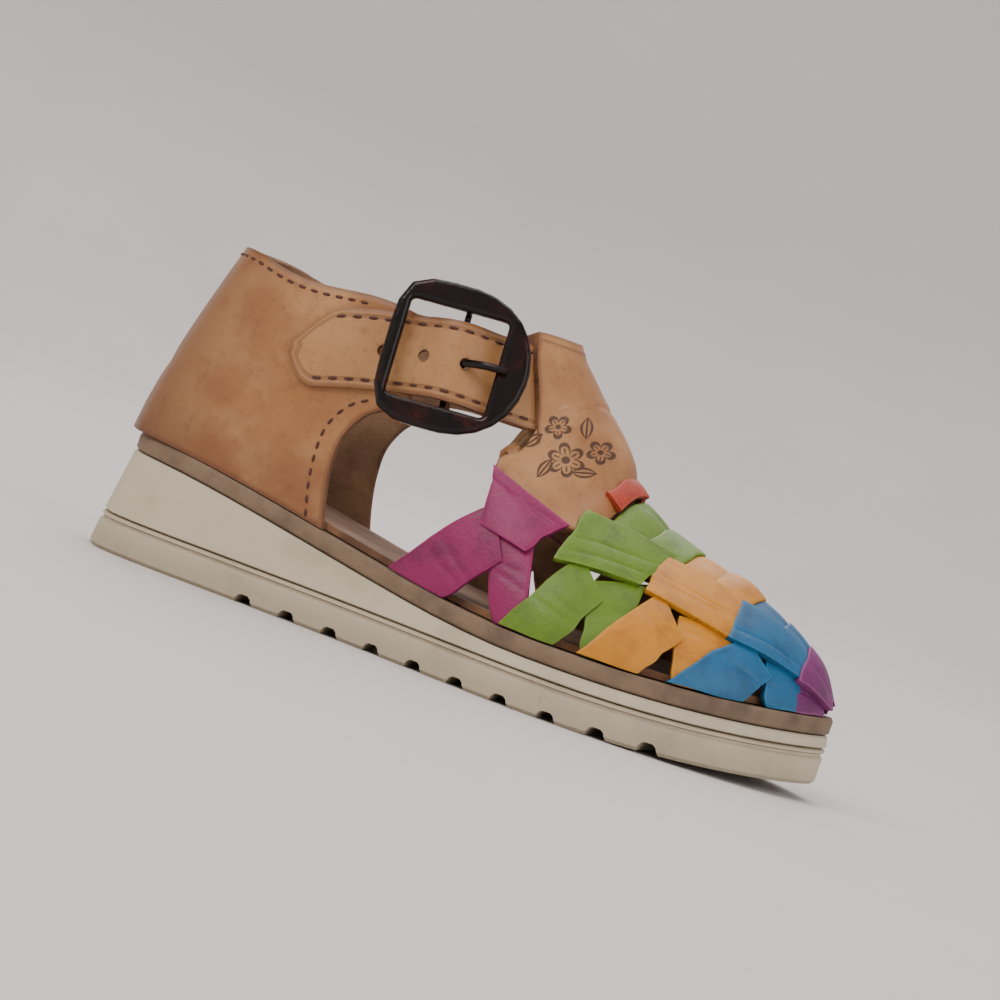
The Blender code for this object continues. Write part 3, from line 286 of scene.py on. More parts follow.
@dataclass(frozen=True)
class GrainLeather:
    """Smooth vegetable-tanned leather with fine grain, mottling and burnished edges."""

    name: str
    base: Colour
    deep: Colour
    pale: Colour
    grooves: tuple[float, ...] = ()
    heel_darkening: float = 0.0
    stamped: bool = False

    def build(self) -> bpy.types.Material:
        """Make the material."""
        tree = FinishTree(self.name)
        place = tree.place()
        along, side, high = tree.parts(place)
        cloud = tree.noise(place, 16.0, 4.0)
        fine = tree.noise(place, 2.2, 5.0, 0.65)
        pores = tree.cells(place, 0.75)
        colour = tree.mix(cloud.step(0.38, 0.68), self.base, self.pale)
        colour = tree.mix(fine.step(0.50, 0.80) * 0.45, colour, self.deep)
        # Darker towards the back of the heel and towards the sole.
        if self.heel_darkening > 0.0:
            back = along.step(-0.050, -0.080) * (0.55 + 0.45 * cloud)
            colour = tree.mix(back * self.heel_darkening, colour, self.deep)
            low = high.step(0.040, 0.027) * 0.35
            colour = tree.mix(low, colour, self.deep)
        scuff = tree.noise(place, 5.0, 6.0, 0.75).step(0.66, 0.78)
        colour = tree.mix(scuff * 0.35, colour, self.pale)
        rim = tree.value("rim")
        burnish = rim.step(1.3, 0.2)
        colour = tree.mix(burnish * 0.55, colour, self.deep)
        height = (pores * 0.55 + fine * 0.35).least(1.0) * 0.16 + 0.55
        for distance in self.grooves:
            groove = rim.band(distance, 0.75)
            height = height - groove * 0.40
            # Painted shade: the colour is darkened inside the stitch groove.
            colour = tree.mix(groove * 0.40, colour, self.deep)
        height = height - burnish * 0.20
        if self.stamped:
            mark = self.stamp(along, side, high)
            colour = tree.mix(mark * 0.88, colour, paint(52, 22, 14))
            height = height - mark * 0.45
        rough = 0.42 + 0.16 * cloud + 0.12 * scuff
        return tree.finish(colour, rough, height, 0.38, coat=0.10)

    @staticmethod
    def turned(x: Shade, z: Shade, angle: float) -> tuple[Shade, Shade]:
        """Offsets in millimetres along two axes turned by an angle."""
        cosine, sine = math.cos(angle) / MM, math.sin(angle) / MM
        return x * cosine + z * -sine, x * sine + z * cosine

    def stamp(self, along: Shade, side: Shade, high: Shade) -> Shade:
        """Pressed flower sprig of a plain kind: three rosettes and four leaves.

        Args:
            along: distance toward the toe.
            side: distance across.
            high: distance up.

        Returns:
            One inside the pressed lines.
        """
        marks = None
        for x, z, petals, radius in FLOWERS:
            across, upward = self.turned(along - x, high - z, FLOWER_TURN)
            reach = (across * across + upward * upward) ** 0.5
            turn = upward._math("ARCTAN2", upward, across) * (petals / 2)
            petal = abs(turn.sine()) ** 0.55
            outline = (reach / (0.36 + 0.64 * petal)).band(radius, 0.62)
            vein = abs((turn + math.pi / 2).sine()).step(0.34, 0.16)
            vein = vein * reach.step(radius * 0.34, radius * 0.42)
            vein = vein * reach.step(radius * 0.78, radius * 0.70)
            heart = reach.step(radius * 0.30, radius * 0.18)
            mark = outline.most(vein * 0.85).most(heart)
            marks = mark if marks is None else marks.most(mark)
        for x, z, angle in LEAVES:
            length, width = self.turned(along - x, high - z, angle)
            fade = (1.0 - (length / LEAF_REACH) ** 2.0).most(0.03)
            inside = abs(length).step(LEAF_REACH + 0.1, LEAF_REACH - 0.1)
            rim = (abs(width) / fade).band(0.95, 0.36)
            rib = abs(width).step(0.26, 0.12)
            marks = marks.most(rim.most(rib) * inside)
        near = side.step(0.004, -0.002)
        return marks * near


@dataclass(frozen=True)
class Suede:
    """Brushed flesh side of the leather."""

    name: str
    base: Colour
    deep: Colour
    nap_mm: float = 0.9

    def build(self) -> bpy.types.Material:
        """Make the material."""
        tree = FinishTree(self.name)
        place = tree.place()
        cloud = tree.noise(place, 12.0, 4.0)
        nap = tree.noise(place, self.nap_mm, 6.0, 0.75)
        colour = tree.mix(cloud.step(0.35, 0.70), self.base, self.deep)
        colour = tree.mix(nap.step(0.35, 0.75) * 0.35, colour, self.deep)
        return tree.finish(colour, 0.92, nap, 0.35, sheen=0.25)


@dataclass(frozen=True)
class DyedLeather:
    """Dyed leather strip with streaks, worn patches, pale rubbed edges and painted shade along its
    folds.
    """

    name: str
    base: Colour
    deep: Colour
    worn: Colour

    def build(self) -> bpy.types.Material:
        """Make the material."""
        tree = FinishTree(self.name)
        place = tree.place()
        cloud = tree.noise(place, 7.0, 5.0, 0.6)
        fine = tree.noise(place, 1.1, 5.0, 0.7)
        crease = tree.noise(place, 3.4, 2.0, 0.4)
        painted_fold_shade = abs(crease - 0.5).step(0.035, 0.0)
        rim = tree.value("rim")
        colour = tree.mix(cloud.step(0.42, 0.74) * 0.55, self.base, self.deep)
        colour = tree.mix(fine.step(0.58, 0.82) * 0.40, colour, self.worn)
        # Painted shade along the crease lines.
        colour = tree.mix(painted_fold_shade * 0.06, colour, self.deep)
        edge = (rim + fine * 0.8 - 0.4).step(0.65, 0.10)
        colour = tree.mix(edge * 0.28, colour, self.worn)
        height = fine * 0.20 + tree.cells(place, 0.8) * 0.14 + crease * 0.45 + 0.1 - edge * 0.15
        rough = 0.40 + 0.24 * fine
        return tree.finish(colour, rough, height, 0.40, coat=0.12)


@dataclass(frozen=True)
class CutEdge:
    """Fibrous raw edge of a cut strap or strip."""

    name: str
    base: Colour
    deep: Colour

    def build(self) -> bpy.types.Material:
        """Make the material."""
        tree = FinishTree(self.name)
        place = tree.place()
        fibre = tree.noise(place, 0.5, 5.0, 0.8)
        cloud = tree.noise(place, 4.0, 3.0)
        colour = tree.mix((fibre * 0.6 + cloud * 0.5).step(0.40, 0.75), self.base, self.deep)
        return tree.finish(colour, 0.90, fibre, 0.25)


@dataclass(frozen=True)
class FoamRubber:
    """Moulded foam sidewall: cream, matt, with faint pores, rubbed dirt and a tread with painted
    shade in its grooves.
    """

    name: str
    base: Colour
    dirt_and_shade: Colour
    tread: Colour
    has_tread: bool = False

    def build(self) -> bpy.types.Material:
        """Make the material."""
        tree = FinishTree(self.name)
        place = tree.place()
        along, side, high = tree.parts(place)
        cloud = tree.noise(place, 22.0, 5.0, 0.6)
        speck = tree.noise(place, 1.4, 6.0, 0.75)
        colour = tree.mix(cloud.step(0.46, 0.72) * 0.45, self.base, self.dirt_and_shade)
        colour = tree.mix(speck.step(0.66, 0.80) * 0.30, colour, self.dirt_and_shade)
        streak = tree.noise(place, 3.0, 4.0, 0.7).step(0.62, 0.75)
        colour = tree.mix(streak * 0.22, colour, self.dirt_and_shade)
        height = speck * 0.30 + 0.5
        if self.has_tread:
            scrape = high.step(0.0085, 0.0015) * (0.45 + 0.55 * speck)
            colour = tree.mix(scrape * 0.50, colour, self.dirt_and_shade)
            _, _, facing = tree.parts(tree.add("ShaderNodeNewGeometry", None, None, "Normal"))
            under = facing.step(-0.6, -0.9)
            colour = tree.mix(under * 0.85, colour, self.tread)
            pitch = 2.0 * math.pi / MM
            chevron = (along + abs(side) * 0.42) * (pitch / 2.4)
            ribs = (chevron.sine() + 1.0) * 0.5
            one = ((along + side) * (pitch / 1.5)).sine()
            two = ((along - side) * (pitch / 1.5)).sine()
            hatch = (one * two + 1.0) * 0.5
            ends = along.step(-0.036, -0.041).most(along.step(0.0585, 0.0635))
            relief = ribs * ends + hatch * (1.0 - ends) * 0.5
            height = height + under * (relief - 0.5)
            # Painted shade: the tread's low parts are darkened with the dirt colour.
            colour = tree.mix(under * (1.0 - relief) * 0.30, colour, self.dirt_and_shade)
        return tree.finish(colour, 0.62 + 0.18 * cloud, height, 0.30)


@dataclass(frozen=True)
class EdgeBoard:
    """Painted leather-board edge of the welt."""

    name: str
    base: Colour
    deep: Colour

    def build(self) -> bpy.types.Material:
        """Make the material."""
        tree = FinishTree(self.name)
        place = tree.place()
        fine = tree.noise(place, 1.2, 5.0, 0.7)
        cloud = tree.noise(place, 9.0, 4.0)
        colour = tree.mix(cloud.step(0.40, 0.70), self.base, self.deep)
        colour = tree.mix(fine.step(0.55, 0.80) * 0.5, colour, self.deep)
        return tree.finish(colour, 0.66, fine, 0.22)


@dataclass(frozen=True)
class BuckleEnamel:
    """Glossy dark enamel on a cast buckle, with red-brown patches painted in as highlights."""

    name: str
    base: Colour
    painted_highlight: Colour

    def build(self) -> bpy.types.Material:
        """Make the material."""
        tree = FinishTree(self.name)
        place = tree.place()
        cloud = tree.noise(place, 6.0, 4.0, 0.6)
        fine = tree.noise(place, 0.8, 4.0, 0.7)
        # Painted highlight: red-brown patches at random stand in for the glossy frame's
        # highlights.
        colour = tree.mix(cloud.step(0.45, 0.72), self.base, self.painted_highlight)
        return tree.finish(colour, 0.17 + 0.05 * fine, fine, 0.01, coat=0.06, shine=0.28)


@dataclass(frozen=True)
class WaxedThread:
    """Dark brown waxed thread."""

    name: str
    base: Colour

    def build(self) -> bpy.types.Material:
        """Make the material."""
        tree = FinishTree(self.name)
        place = tree.place()
        twist = tree.noise(place, 0.35, 2.0, 0.5)
        colour = tree.mix(twist.step(0.35, 0.7), self.base, tuple(c * 2.4 for c in self.base))
        return tree.finish(colour, 0.55, twist, 0.12)


# Shape of the foot


def spline(points: np.ndarray, steps: int, closed: bool = False) -> np.ndarray:
    """Catmull-Rom refinement along the first axis.

    Args:
        points: knots, any shape after the first axis.
        steps: new points to each old step.
        closed: whether the last knot joins the first.

    Returns:
        The refined points.
    """
    knots = np.asarray(points, float)
    if closed:
        wide = np.concatenate([knots[-1:], knots, knots[:2]])
        count = len(knots)
    else:
        wide = np.concatenate([2 * knots[:1] - knots[1:2], knots, 2 * knots[-1:] - knots[-2:-1]])
        count = len(knots) - 1
    made = []
    for i in range(count):
        before, start, end, after = wide[i], wide[i + 1], wide[i + 2], wide[i + 3]
        for k in range(steps):
            t = k / steps
            made.append(0.5 * (2 * start + (end - before) * t
                               + (2 * before - 5 * start + 4 * end - after) * t ** 2
                               + (3 * start - before - 3 * end + after) * t ** 3))
    if not closed:
        made.append(knots[-1])
    return np.array(made)


def refine(grid: np.ndarray, rows: int, columns: int) -> np.ndarray:
    """Refine a grid of points or numbers along both its axes."""
    fine = spline(grid, rows)
    return np.swapaxes(spline(np.swapaxes(fine, 0, 1), columns), 0, 1)


def ease(start: float, end: float, value: float) -> float:
    """Smooth step from 0 at start to 1 at end."""
    share = min(1.0, max(0.0, (value - start) / (end - start)))
    return share * share * (3.0 - 2.0 * share)


@dataclass
class Last:
    """The last: the shape of the foot that every leather piece lies on, in metres."""

    sole_length: float = 0.1707
    ball_width: float = 0.0720
    heel_foam: float = 0.0230
    forefoot_foam: float = 0.0110
    wedge_run: float = 0.1075
    spring: float = 0.0040
    spring_start: float = 0.1165
    over_foam: float = 0.0044
    inset: float = 0.0032
    lean: float = 0.0108
    lean_height: float = 0.0450
    lean_power: float = 1.3
    lean_run: float = 0.055
    side_power: float = 1.55
    top_power: float = 1.70
    ridge_heel: float = 0.0010
    ridge_ball: float = 0.0040
    ankle: float = 0.0527
    stations: tuple = (
        (0.025, 0.194, 0.208), (0.060, 0.268, 0.285), (0.116, 0.306, 0.333),
        (0.210, 0.326, 0.358), (0.341, 0.358, 0.310), (0.419, 0.390, 0.279),
        (0.508, 0.446, 0.347), (0.631, 0.513, 0.446), (0.739, 0.484, 0.486),
        (0.843, 0.396, 0.452), (0.926, 0.252, 0.361), (0.980, 0.075, 0.222))
    ridge: tuple = (
        (0.000, 0.732), (0.309, 0.732), (0.367, 0.597), (0.403, 0.533), (0.438, 0.463),
        (0.478, 0.384), (0.520, 0.323), (0.574, 0.273), (0.646, 0.208), (0.724, 0.161),
        (0.835, 0.129), (0.901, 0.093), (0.947, 0.056), (0.981, 0.003))
    centre: np.ndarray = field(init=False)
    edge: np.ndarray = field(init=False)
    arcs: dict = field(init=False)

    def __post_init__(self) -> None:
        """Work out the sole's outline and the last's lower edge."""
        outer = [(a * self.sole_length, -b * self.ball_width) for a, b, _ in self.stations]
        inner = [(a * self.sole_length, c * self.ball_width) for a, _, c in self.stations]
        heel = [(0.0, 0.007 * self.ball_width)]
        toe = [(self.sole_length, 0.080 * self.ball_width)]
        loop = spline(np.array(heel + outer + toe + inner[::-1]), 8, closed=True)
        self.centre = (loop.min(0) + loop.max(0)) / 2
        tangent = np.roll(loop, -1, 0) - np.roll(loop, 1, 0)
        tangent /= np.linalg.norm(tangent, axis=1)[:, None]
        self.edge = loop + np.column_stack([-tangent[:, 1], tangent[:, 0]]) * self.inset
        self.arcs = {-1: self._edge_arc(-1), 1: self._edge_arc(1)}

    def _edge_arc(self, sign: int) -> tuple[np.ndarray, np.ndarray]:
        """Lower edge from heel to toe on one side, with its arc length."""
        heel, toe, count = self.edge[:, 0].argmin(), self.edge[:, 0].argmax(), len(self.edge)
        run = (toe - heel) % count if sign < 0 else (heel - toe) % count
        order = [(heel - sign * i) % count for i in range(run + 1)]
        points = self.edge[order]
        steps = np.linalg.norm(np.diff(points, axis=0), axis=1)
        return np.concatenate([[0.0], np.cumsum(steps)]), points

    def arc_of(self, along: float, sign: int) -> float:
        """Signed distance round the heel to a place on one side."""
        arc, points = self.arcs[sign]
        return sign * float(np.interp(along, points[:, 0], arc))

    def edge_point(self, arc: float) -> tuple[float, float]:
        """Point of the lower edge at a signed distance round the heel."""
        lengths, points = self.arcs[-1 if arc < 0 else 1]
        return (float(np.interp(abs(arc), lengths, points[:, 0])),
                float(np.interp(abs(arc), lengths, points[:, 1])))

    def footbed(self, along: float) -> float:
        """Height of the leather's lower edge."""
        drop = (self.heel_foam - self.forefoot_foam) * ease(0.0, self.wedge_run, along)
        share = max(0.0, (along - self.spring_start) / (self.sole_length - self.spring_start))
        return self.heel_foam - drop + self.spring * share ** 2 + self.over_foam

    def heel_lean(self, along: float, height: float) -> float:
        """Forward lean of the heel."""
        share = max(0.0, height) / self.lean_height
        return self.lean * share ** self.lean_power * (1.0 - ease(0.0, self.lean_run, along))

    def ridge_height(self, along: float) -> float:
        """Height of the top line over the footbed."""
        table = np.array(self.ridge) * self.sole_length
        return float(np.interp(along, table[:, 0], table[:, 1]))

    def ridge_side(self, along: float) -> float:
        """Side place of the top line."""
        swing = ease(0.42 * self.sole_length, 0.71 * self.sole_length, along)
        return self.ridge_heel + (self.ridge_ball - self.ridge_heel) * swing

    def wall_point(self, along: float, side: float, height: float) -> np.ndarray:
        """Point of the last over one point of its lower edge."""
        share = min(1.0, max(0.0, height) / self.ridge_height(along))
        narrow = (1.0 - share ** self.top_power) ** (1.0 / self.side_power)
        middle = self.ridge_side(along)
        return np.array([along + self.heel_lean(along, height),
                         middle + (side - middle) * narrow, self.footbed(along) + height])

    def span(self, along: float) -> tuple[float, float]:
        """Both side places of the lower edge at one distance along."""
        start, end = self.edge, np.roll(self.edge, -1, 0)
        low, high = np.minimum(start[:, 0], end[:, 0]), np.maximum(start[:, 0], end[:, 0])
        hit = (low <= along) & (high >= along) & (high > low)
        step = end[hit] - start[hit]
        sides = start[hit][:, 1] + step[:, 1] * (along - start[hit][:, 0]) / step[:, 0]
        return sides.min(), sides.max()

    def foot_point(self, share_along: float, climb: float) -> np.ndarray:
        """Point of the last: climb 0 to 1 on the outer side, 1 to 2 on the inner."""
        along = share_along * self.sole_length
        first, last = self.edge[:, 0].min(), self.edge[:, 0].max()
        sides = self.span(min(max(along, first + 1e-5), last - 1e-5))
        angle = min(climb, 2.0 - climb) * math.pi / 2
        height = self.ridge_height(along) * math.sin(angle) ** (2.0 / self.top_power)
        return self.wall_point(along, sides[0] if climb < 1.0 else sides[1], height)

    def is_inside(self, point: np.ndarray) -> bool:
        """Tell whether a point lies within the last."""
        height = point[2] - self.footbed(point[0])
        along = point[0]
        for _ in range(3):
            along = point[0] - self.heel_lean(along, height)
        first, last = self.edge[:, 0].min(), self.edge[:, 0].max()
        if not first < along < last or height >= self.ridge_height(along):
            return False
        low, high = self.span(along)
        return (self.wall_point(along, low, height)[1] < point[1]
                < self.wall_point(along, high, height)[1])

    def ring_point(self, angle: float, level: object) -> np.ndarray:
        """Point of the last round the ankle, where its height is level(along)."""
        near, far = 0.0, self.sole_length / 2
        for _ in range(20):
            reach = (near + far) / 2
            along = self.ankle + reach * math.cos(angle)
            point = np.array([along, reach * math.sin(angle), level(along)])
            if self.is_inside(point):
                near = reach
            else:
                far = reach
        return point

    def normals(self, grid: np.ndarray) -> np.ndarray:
        """Unit normals of a grid, facing away from the foot."""
        normal = np.cross(np.gradient(grid, axis=0), np.gradient(grid, axis=1))
        normal /= np.linalg.norm(normal, axis=2)[:, :, None] + 1e-12
        heart = grid.copy()
        heart[:, :, 1] = 0.0
        heart[:, :, 2] = np.vectorize(self.footbed)(grid[:, :, 0])
        return -normal if np.sum(normal * (grid - heart)) < 0.0 else normal


# Leather pieces


def select_only(thing: bpy.types.Object) -> None:
    """Make one object the selected and active one."""
    bpy.ops.object.select_all(action="DESELECT")
    thing.select_set(True)
    bpy.context.view_layer.objects.active = thing


def apply_all(thing: bpy.types.Object) -> None:
    """Apply every modifier of an object."""
    select_only(thing)
    for modifier in list(thing.modifiers):
        bpy.ops.object.modifier_apply(modifier=modifier.name)


@dataclass
class Panel:
    """One leather piece: a refined grid on the last, with lift and wall."""

    name: str
    last: Last
    grid: np.ndarray
    lift: np.ndarray
    wall: float
    looks: tuple
    fineness: tuple[int, int] = (4, 4)
    round_edge: float = 0.00035
    crown: float = 0.0
    troughs: tuple = ()
    inner: np.ndarray = field(init=False)
    skin: np.ndarray = field(init=False)
    facing: np.ndarray = field(init=False)
    run_r: np.ndarray = field(init=False)
    run_c: np.ndarray = field(init=False)
    rim: np.ndarray = field(init=False)

    def __post_init__(self) -> None:
        """Refine the grid and work out its outer skin and rim distances."""
        rows, columns = self.fineness
        points = refine(self.grid, rows, columns)
        lift = refine(np.broadcast_to(self.lift, self.grid.shape[:2]).astype(float),
                      rows, columns)
        self.facing = self.last.normals(points)
        count_r, count_c = points.shape[:2]
        v = np.linspace(0.0, 1.0, count_r)[:, None]
        u = np.linspace(0.0, 1.0, count_c)[None, :]
        lift = lift + self.crown * (1.0 - (2.0 * v - 1.0) ** 2) * np.ones_like(u)
        for trough in self.troughs:
            lift = lift - trough.depth_at(u, v)
        self.inner = points + self.facing * lift[:, :, None]
        self.skin = self.inner + self.facing * self.wall
        over = np.linalg.norm(np.diff(self.skin, axis=0), axis=2)
        run_r = np.concatenate([np.zeros((1, count_c)), np.cumsum(over, axis=0)])
        over = np.linalg.norm(np.diff(self.skin, axis=1), axis=2)
        run_c = np.concatenate([np.zeros((count_r, 1)), np.cumsum(over, axis=1)], axis=1)
        self.run_r = run_r
        self.run_c = run_c
        self.rim = np.minimum(np.minimum(run_r, run_r[-1:] - run_r),
                              np.minimum(run_c, run_c[:, -1:] - run_c)) / MM

    def make(self) -> bpy.types.Object:
        """Model the piece.

        Returns:
            The finished object, at the origin.
        """
        rows, columns = self.skin.shape[:2]
        bpy.ops.object.select_all(action="DESELECT")
        bpy.ops.mesh.primitive_grid_add(x_subdivisions=columns - 1, y_subdivisions=rows - 1)
        thing = bpy.context.object
        thing.name = self.name
        mesh = thing.data
        mesh.name = self.name
        shift = np.array([*self.last.centre, 0.0])
        mesh.vertices.foreach_set("co", (self.inner - shift).reshape(-1))
        rim = mesh.attributes.new("rim", "FLOAT", "POINT")
        rim.data.foreach_set("value", self.rim.reshape(-1))
        mesh.update()
        middle = mesh.polygons[len(mesh.polygons) // 2]
        row, column = divmod(middle.vertices[0], columns)
        if np.dot(np.array(middle.normal), self.facing[row, column]) < 0.0:
            mesh.flip_normals()
        for look in self.looks:
            mesh.materials.append(look)
        wall = thing.modifiers.new("Wall", "SOLIDIFY")
        wall.thickness = self.wall
        wall.offset = 1.0
        wall.use_quality_normals = True
        wall.material_offset_rim = 1
        wall.material_offset = 2
        edge = thing.modifiers.new("Edge", "BEVEL")
        edge.width = self.round_edge
        edge.segments = 2
        edge.limit_method = "ANGLE"
        edge.angle_limit = math.radians(50)
        apply_all(thing)
        bpy.ops.object.shade_smooth_by_angle(angle=SMOOTH_ANGLE)
        return thing

    def line(self, distance: float, way: str, first: float = 0.0,
             last: float = 1.0) -> tuple[np.ndarray, np.ndarray]:
        """Line on the skin at an even distance from one edge.

        Args:
            distance: distance from the edge.
            way: "low", "high", "start" or "end", the edge that is followed.
            first: share of the edge where the line starts.
            last: share of the edge where it ends.

        Returns:
            The line's points and normals.
        """
        across = way in ("low", "high")
        run = self.run_r if across else self.run_c.T
        skin = self.skin if across else np.swapaxes(self.skin, 0, 1)
        facing = self.facing if across else np.swapaxes(self.facing, 0, 1)
        far = way in ("high", "end")
        points, normals = [], []
        count = skin.shape[1]
        for i in range(int(first * (count - 1)), int(last * (count - 1)) + 1):
            at = run[-1, i] - distance if far else distance
            points.append([np.interp(at, run[:, i], skin[:, i, k]) for k in range(3)])
            normals.append([np.interp(at, run[:, i], facing[:, i, k]) for k in range(3)])
        return np.array(points), np.array(normals)


@dataclass(frozen=True)
class Trough:
    """Soft crease across a piece, in shares of its length and width."""

    start: tuple[float, float]
    end: tuple[float, float]
    width: float
    depth: float

    def depth_at(self, u: np.ndarray, v: np.ndarray) -> np.ndarray:
        """Depth of the crease at grid shares u and v."""
        (u0, v0), (u1, v1) = self.start, self.end
        run_u, run_v = u1 - u0, v1 - v0
        share = ((u - u0) * run_u + (v - v0) * run_v) / (run_u ** 2 + run_v ** 2)
        share = np.clip(share, 0.0, 1.0)
        away = np.hypot(u - u0 - share * run_u, v - v0 - share * run_v)
        fade = np.sin(np.pi * np.clip(share, 0.02, 0.98)) ** 0.6
        return self.depth * fade * np.exp(-(away / self.width) ** 2)


@dataclass
class StitchRow:
    """Row of thread stitches along a line on the leather."""

    name: str
    points: np.ndarray
    normals: np.ndarray
    centre: np.ndarray
    pitch: float = 0.0029
    length: float = 0.0019
    radius: float = 0.00038

    def make(self, look: bpy.types.Material) -> bpy.types.Object:
        """Model one stitch, copy it along the line and join the copies.

        Args:
            look: the thread's finish.

        Returns:
            The row as one object.
        """
        steps = np.linalg.norm(np.diff(self.points, axis=0), axis=1)
        run = np.concatenate([[0.0], np.cumsum(steps)])
        count = max(2, int(run[-1] / self.pitch))
        bpy.ops.object.select_all(action="DESELECT")
        bpy.ops.mesh.primitive_uv_sphere_add(segments=8, ring_count=6, radius=1.0)
        first = bpy.context.object
        first.data.materials.append(look)
        copies = []
        for i in range(count):
            at = (i + 0.5) * run[-1] / count
            here = np.array([np.interp(at, run, self.points[:, k]) for k in range(3)])
            ahead = np.array([np.interp(at + 2e-4, run, self.points[:, k]) for k in range(3)])
            behind = np.array([np.interp(at - 2e-4, run, self.points[:, k]) for k in range(3)])
            up = Vector([np.interp(at, run, self.normals[:, k]) for k in range(3)]).normalized()
            forward = Vector(ahead - behind).normalized()
            side = up.cross(forward).normalized()
            frame_matrix = Matrix((forward, side, forward.cross(side))).transposed().to_4x4()
            frame_matrix.translation = Vector(here) - Vector((*self.centre, 0.0))
            scale = Matrix.Diagonal((self.length / 2, self.radius, self.radius * 0.8, 1.0))
            copy = first.copy()
            copy.data = first.data.copy()
            copy.matrix_world = frame_matrix @ scale
            bpy.context.scene.collection.objects.link(copy)
            copies.append(copy)
        bpy.data.objects.remove(first)
        select_only(copies[0])
        for copy in copies:
            copy.select_set(True)
        bpy.ops.object.join()
        thing = bpy.context.object
        thing.name = self.name
        bpy.ops.object.transform_apply(location=True, rotation=True, scale=True)
        bpy.ops.object.shade_smooth()
        return thing


class Dye(Enum):
    """Colours of the woven strips."""

    MAGENTA = "magenta"
    GREEN = "green"
    YELLOW = "yellow"
    BLUE = "blue"
    PURPLE = "purple"
    ORANGE = "orange"


@dataclass(frozen=True)
class Strip:
    """Woven strip: its layer and its corners as (share of length, climb)."""

    dye: Dye
    layer: int
    rear_low: tuple[float, float]
    front_low: tuple[float, float]
    front_high: tuple[float, float]
    rear_high: tuple[float, float]


@dataclass(frozen=True)
class CrownStrip:
    """Strip across the top line."""

    dye: Dye
    layer: int
    rear: float
    front: float
    climb: float
    sweep: float


STRIPS = (
    Strip(Dye.MAGENTA, 1, (0.424, 0.0), (0.506, 0.0), (0.562, 0.20), (0.528, 0.32)),
    Strip(Dye.MAGENTA, 0, (0.581, 0.0), (0.628, 0.0), (0.590, 0.30), (0.525, 0.28)),
    Strip(Dye.MAGENTA, 2, (0.521, 0.24), (0.584, 0.26), (0.615, 0.43), (0.504, 0.37)),
    Strip(Dye.GREEN, 1, (0.587, 0.0), (0.660, 0.0), (0.693, 0.28), (0.650, 0.39)),
    Strip(Dye.GREEN, 0, (0.695, 0.0), (0.742, 0.0), (0.730, 0.46), (0.673, 0.34)),
    Strip(Dye.GREEN, 2, (0.618, 0.30), (0.724, 0.43), (0.742, 0.72), (0.624, 0.53)),
    Strip(Dye.YELLOW, 1, (0.687, 0.0), (0.763, 0.0), (0.798, 0.27), (0.752, 0.47)),
    Strip(Dye.YELLOW, 0, (0.807, 0.0), (0.853, 0.0), (0.850, 0.42), (0.785, 0.40)),
    Strip(Dye.YELLOW, 2, (0.733, 0.42), (0.844, 0.38), (0.852, 0.72), (0.726, 0.66)),
    Strip(Dye.BLUE, 1, (0.798, 0.0), (0.886, 0.0), (0.909, 0.28), (0.864, 0.46)),
    Strip(Dye.BLUE, 0, (0.916, 0.0), (0.953, 0.0), (0.941, 0.52), (0.895, 0.46)),
    Strip(Dye.BLUE, 2, (0.844, 0.38), (0.945, 0.40), (0.943, 0.78), (0.839, 0.68)),
    Strip(Dye.PURPLE, 0, (0.944, 0.0), (0.978, 0.0), (0.974, 0.62), (0.932, 0.58)),
)
CROWNS = (
    CrownStrip(Dye.ORANGE, 2, 0.644, 0.668, 0.66, -0.012),
    CrownStrip(Dye.GREEN, 0, 0.673, 0.720, 0.52, -0.018),
    CrownStrip(Dye.GREEN, 1, 0.717, 0.768, 0.52, -0.018),
    CrownStrip(Dye.YELLOW, 0, 0.764, 0.815, 0.50, -0.018),
    CrownStrip(Dye.YELLOW, 1, 0.811, 0.860, 0.50, -0.016),
    CrownStrip(Dye.BLUE, 0, 0.856, 0.902, 0.48, -0.012),
    CrownStrip(Dye.BLUE, 1, 0.898, 0.943, 0.46, -0.008),
    CrownStrip(Dye.PURPLE, 2, 0.929, 0.974, 0.36, 0.004),
)


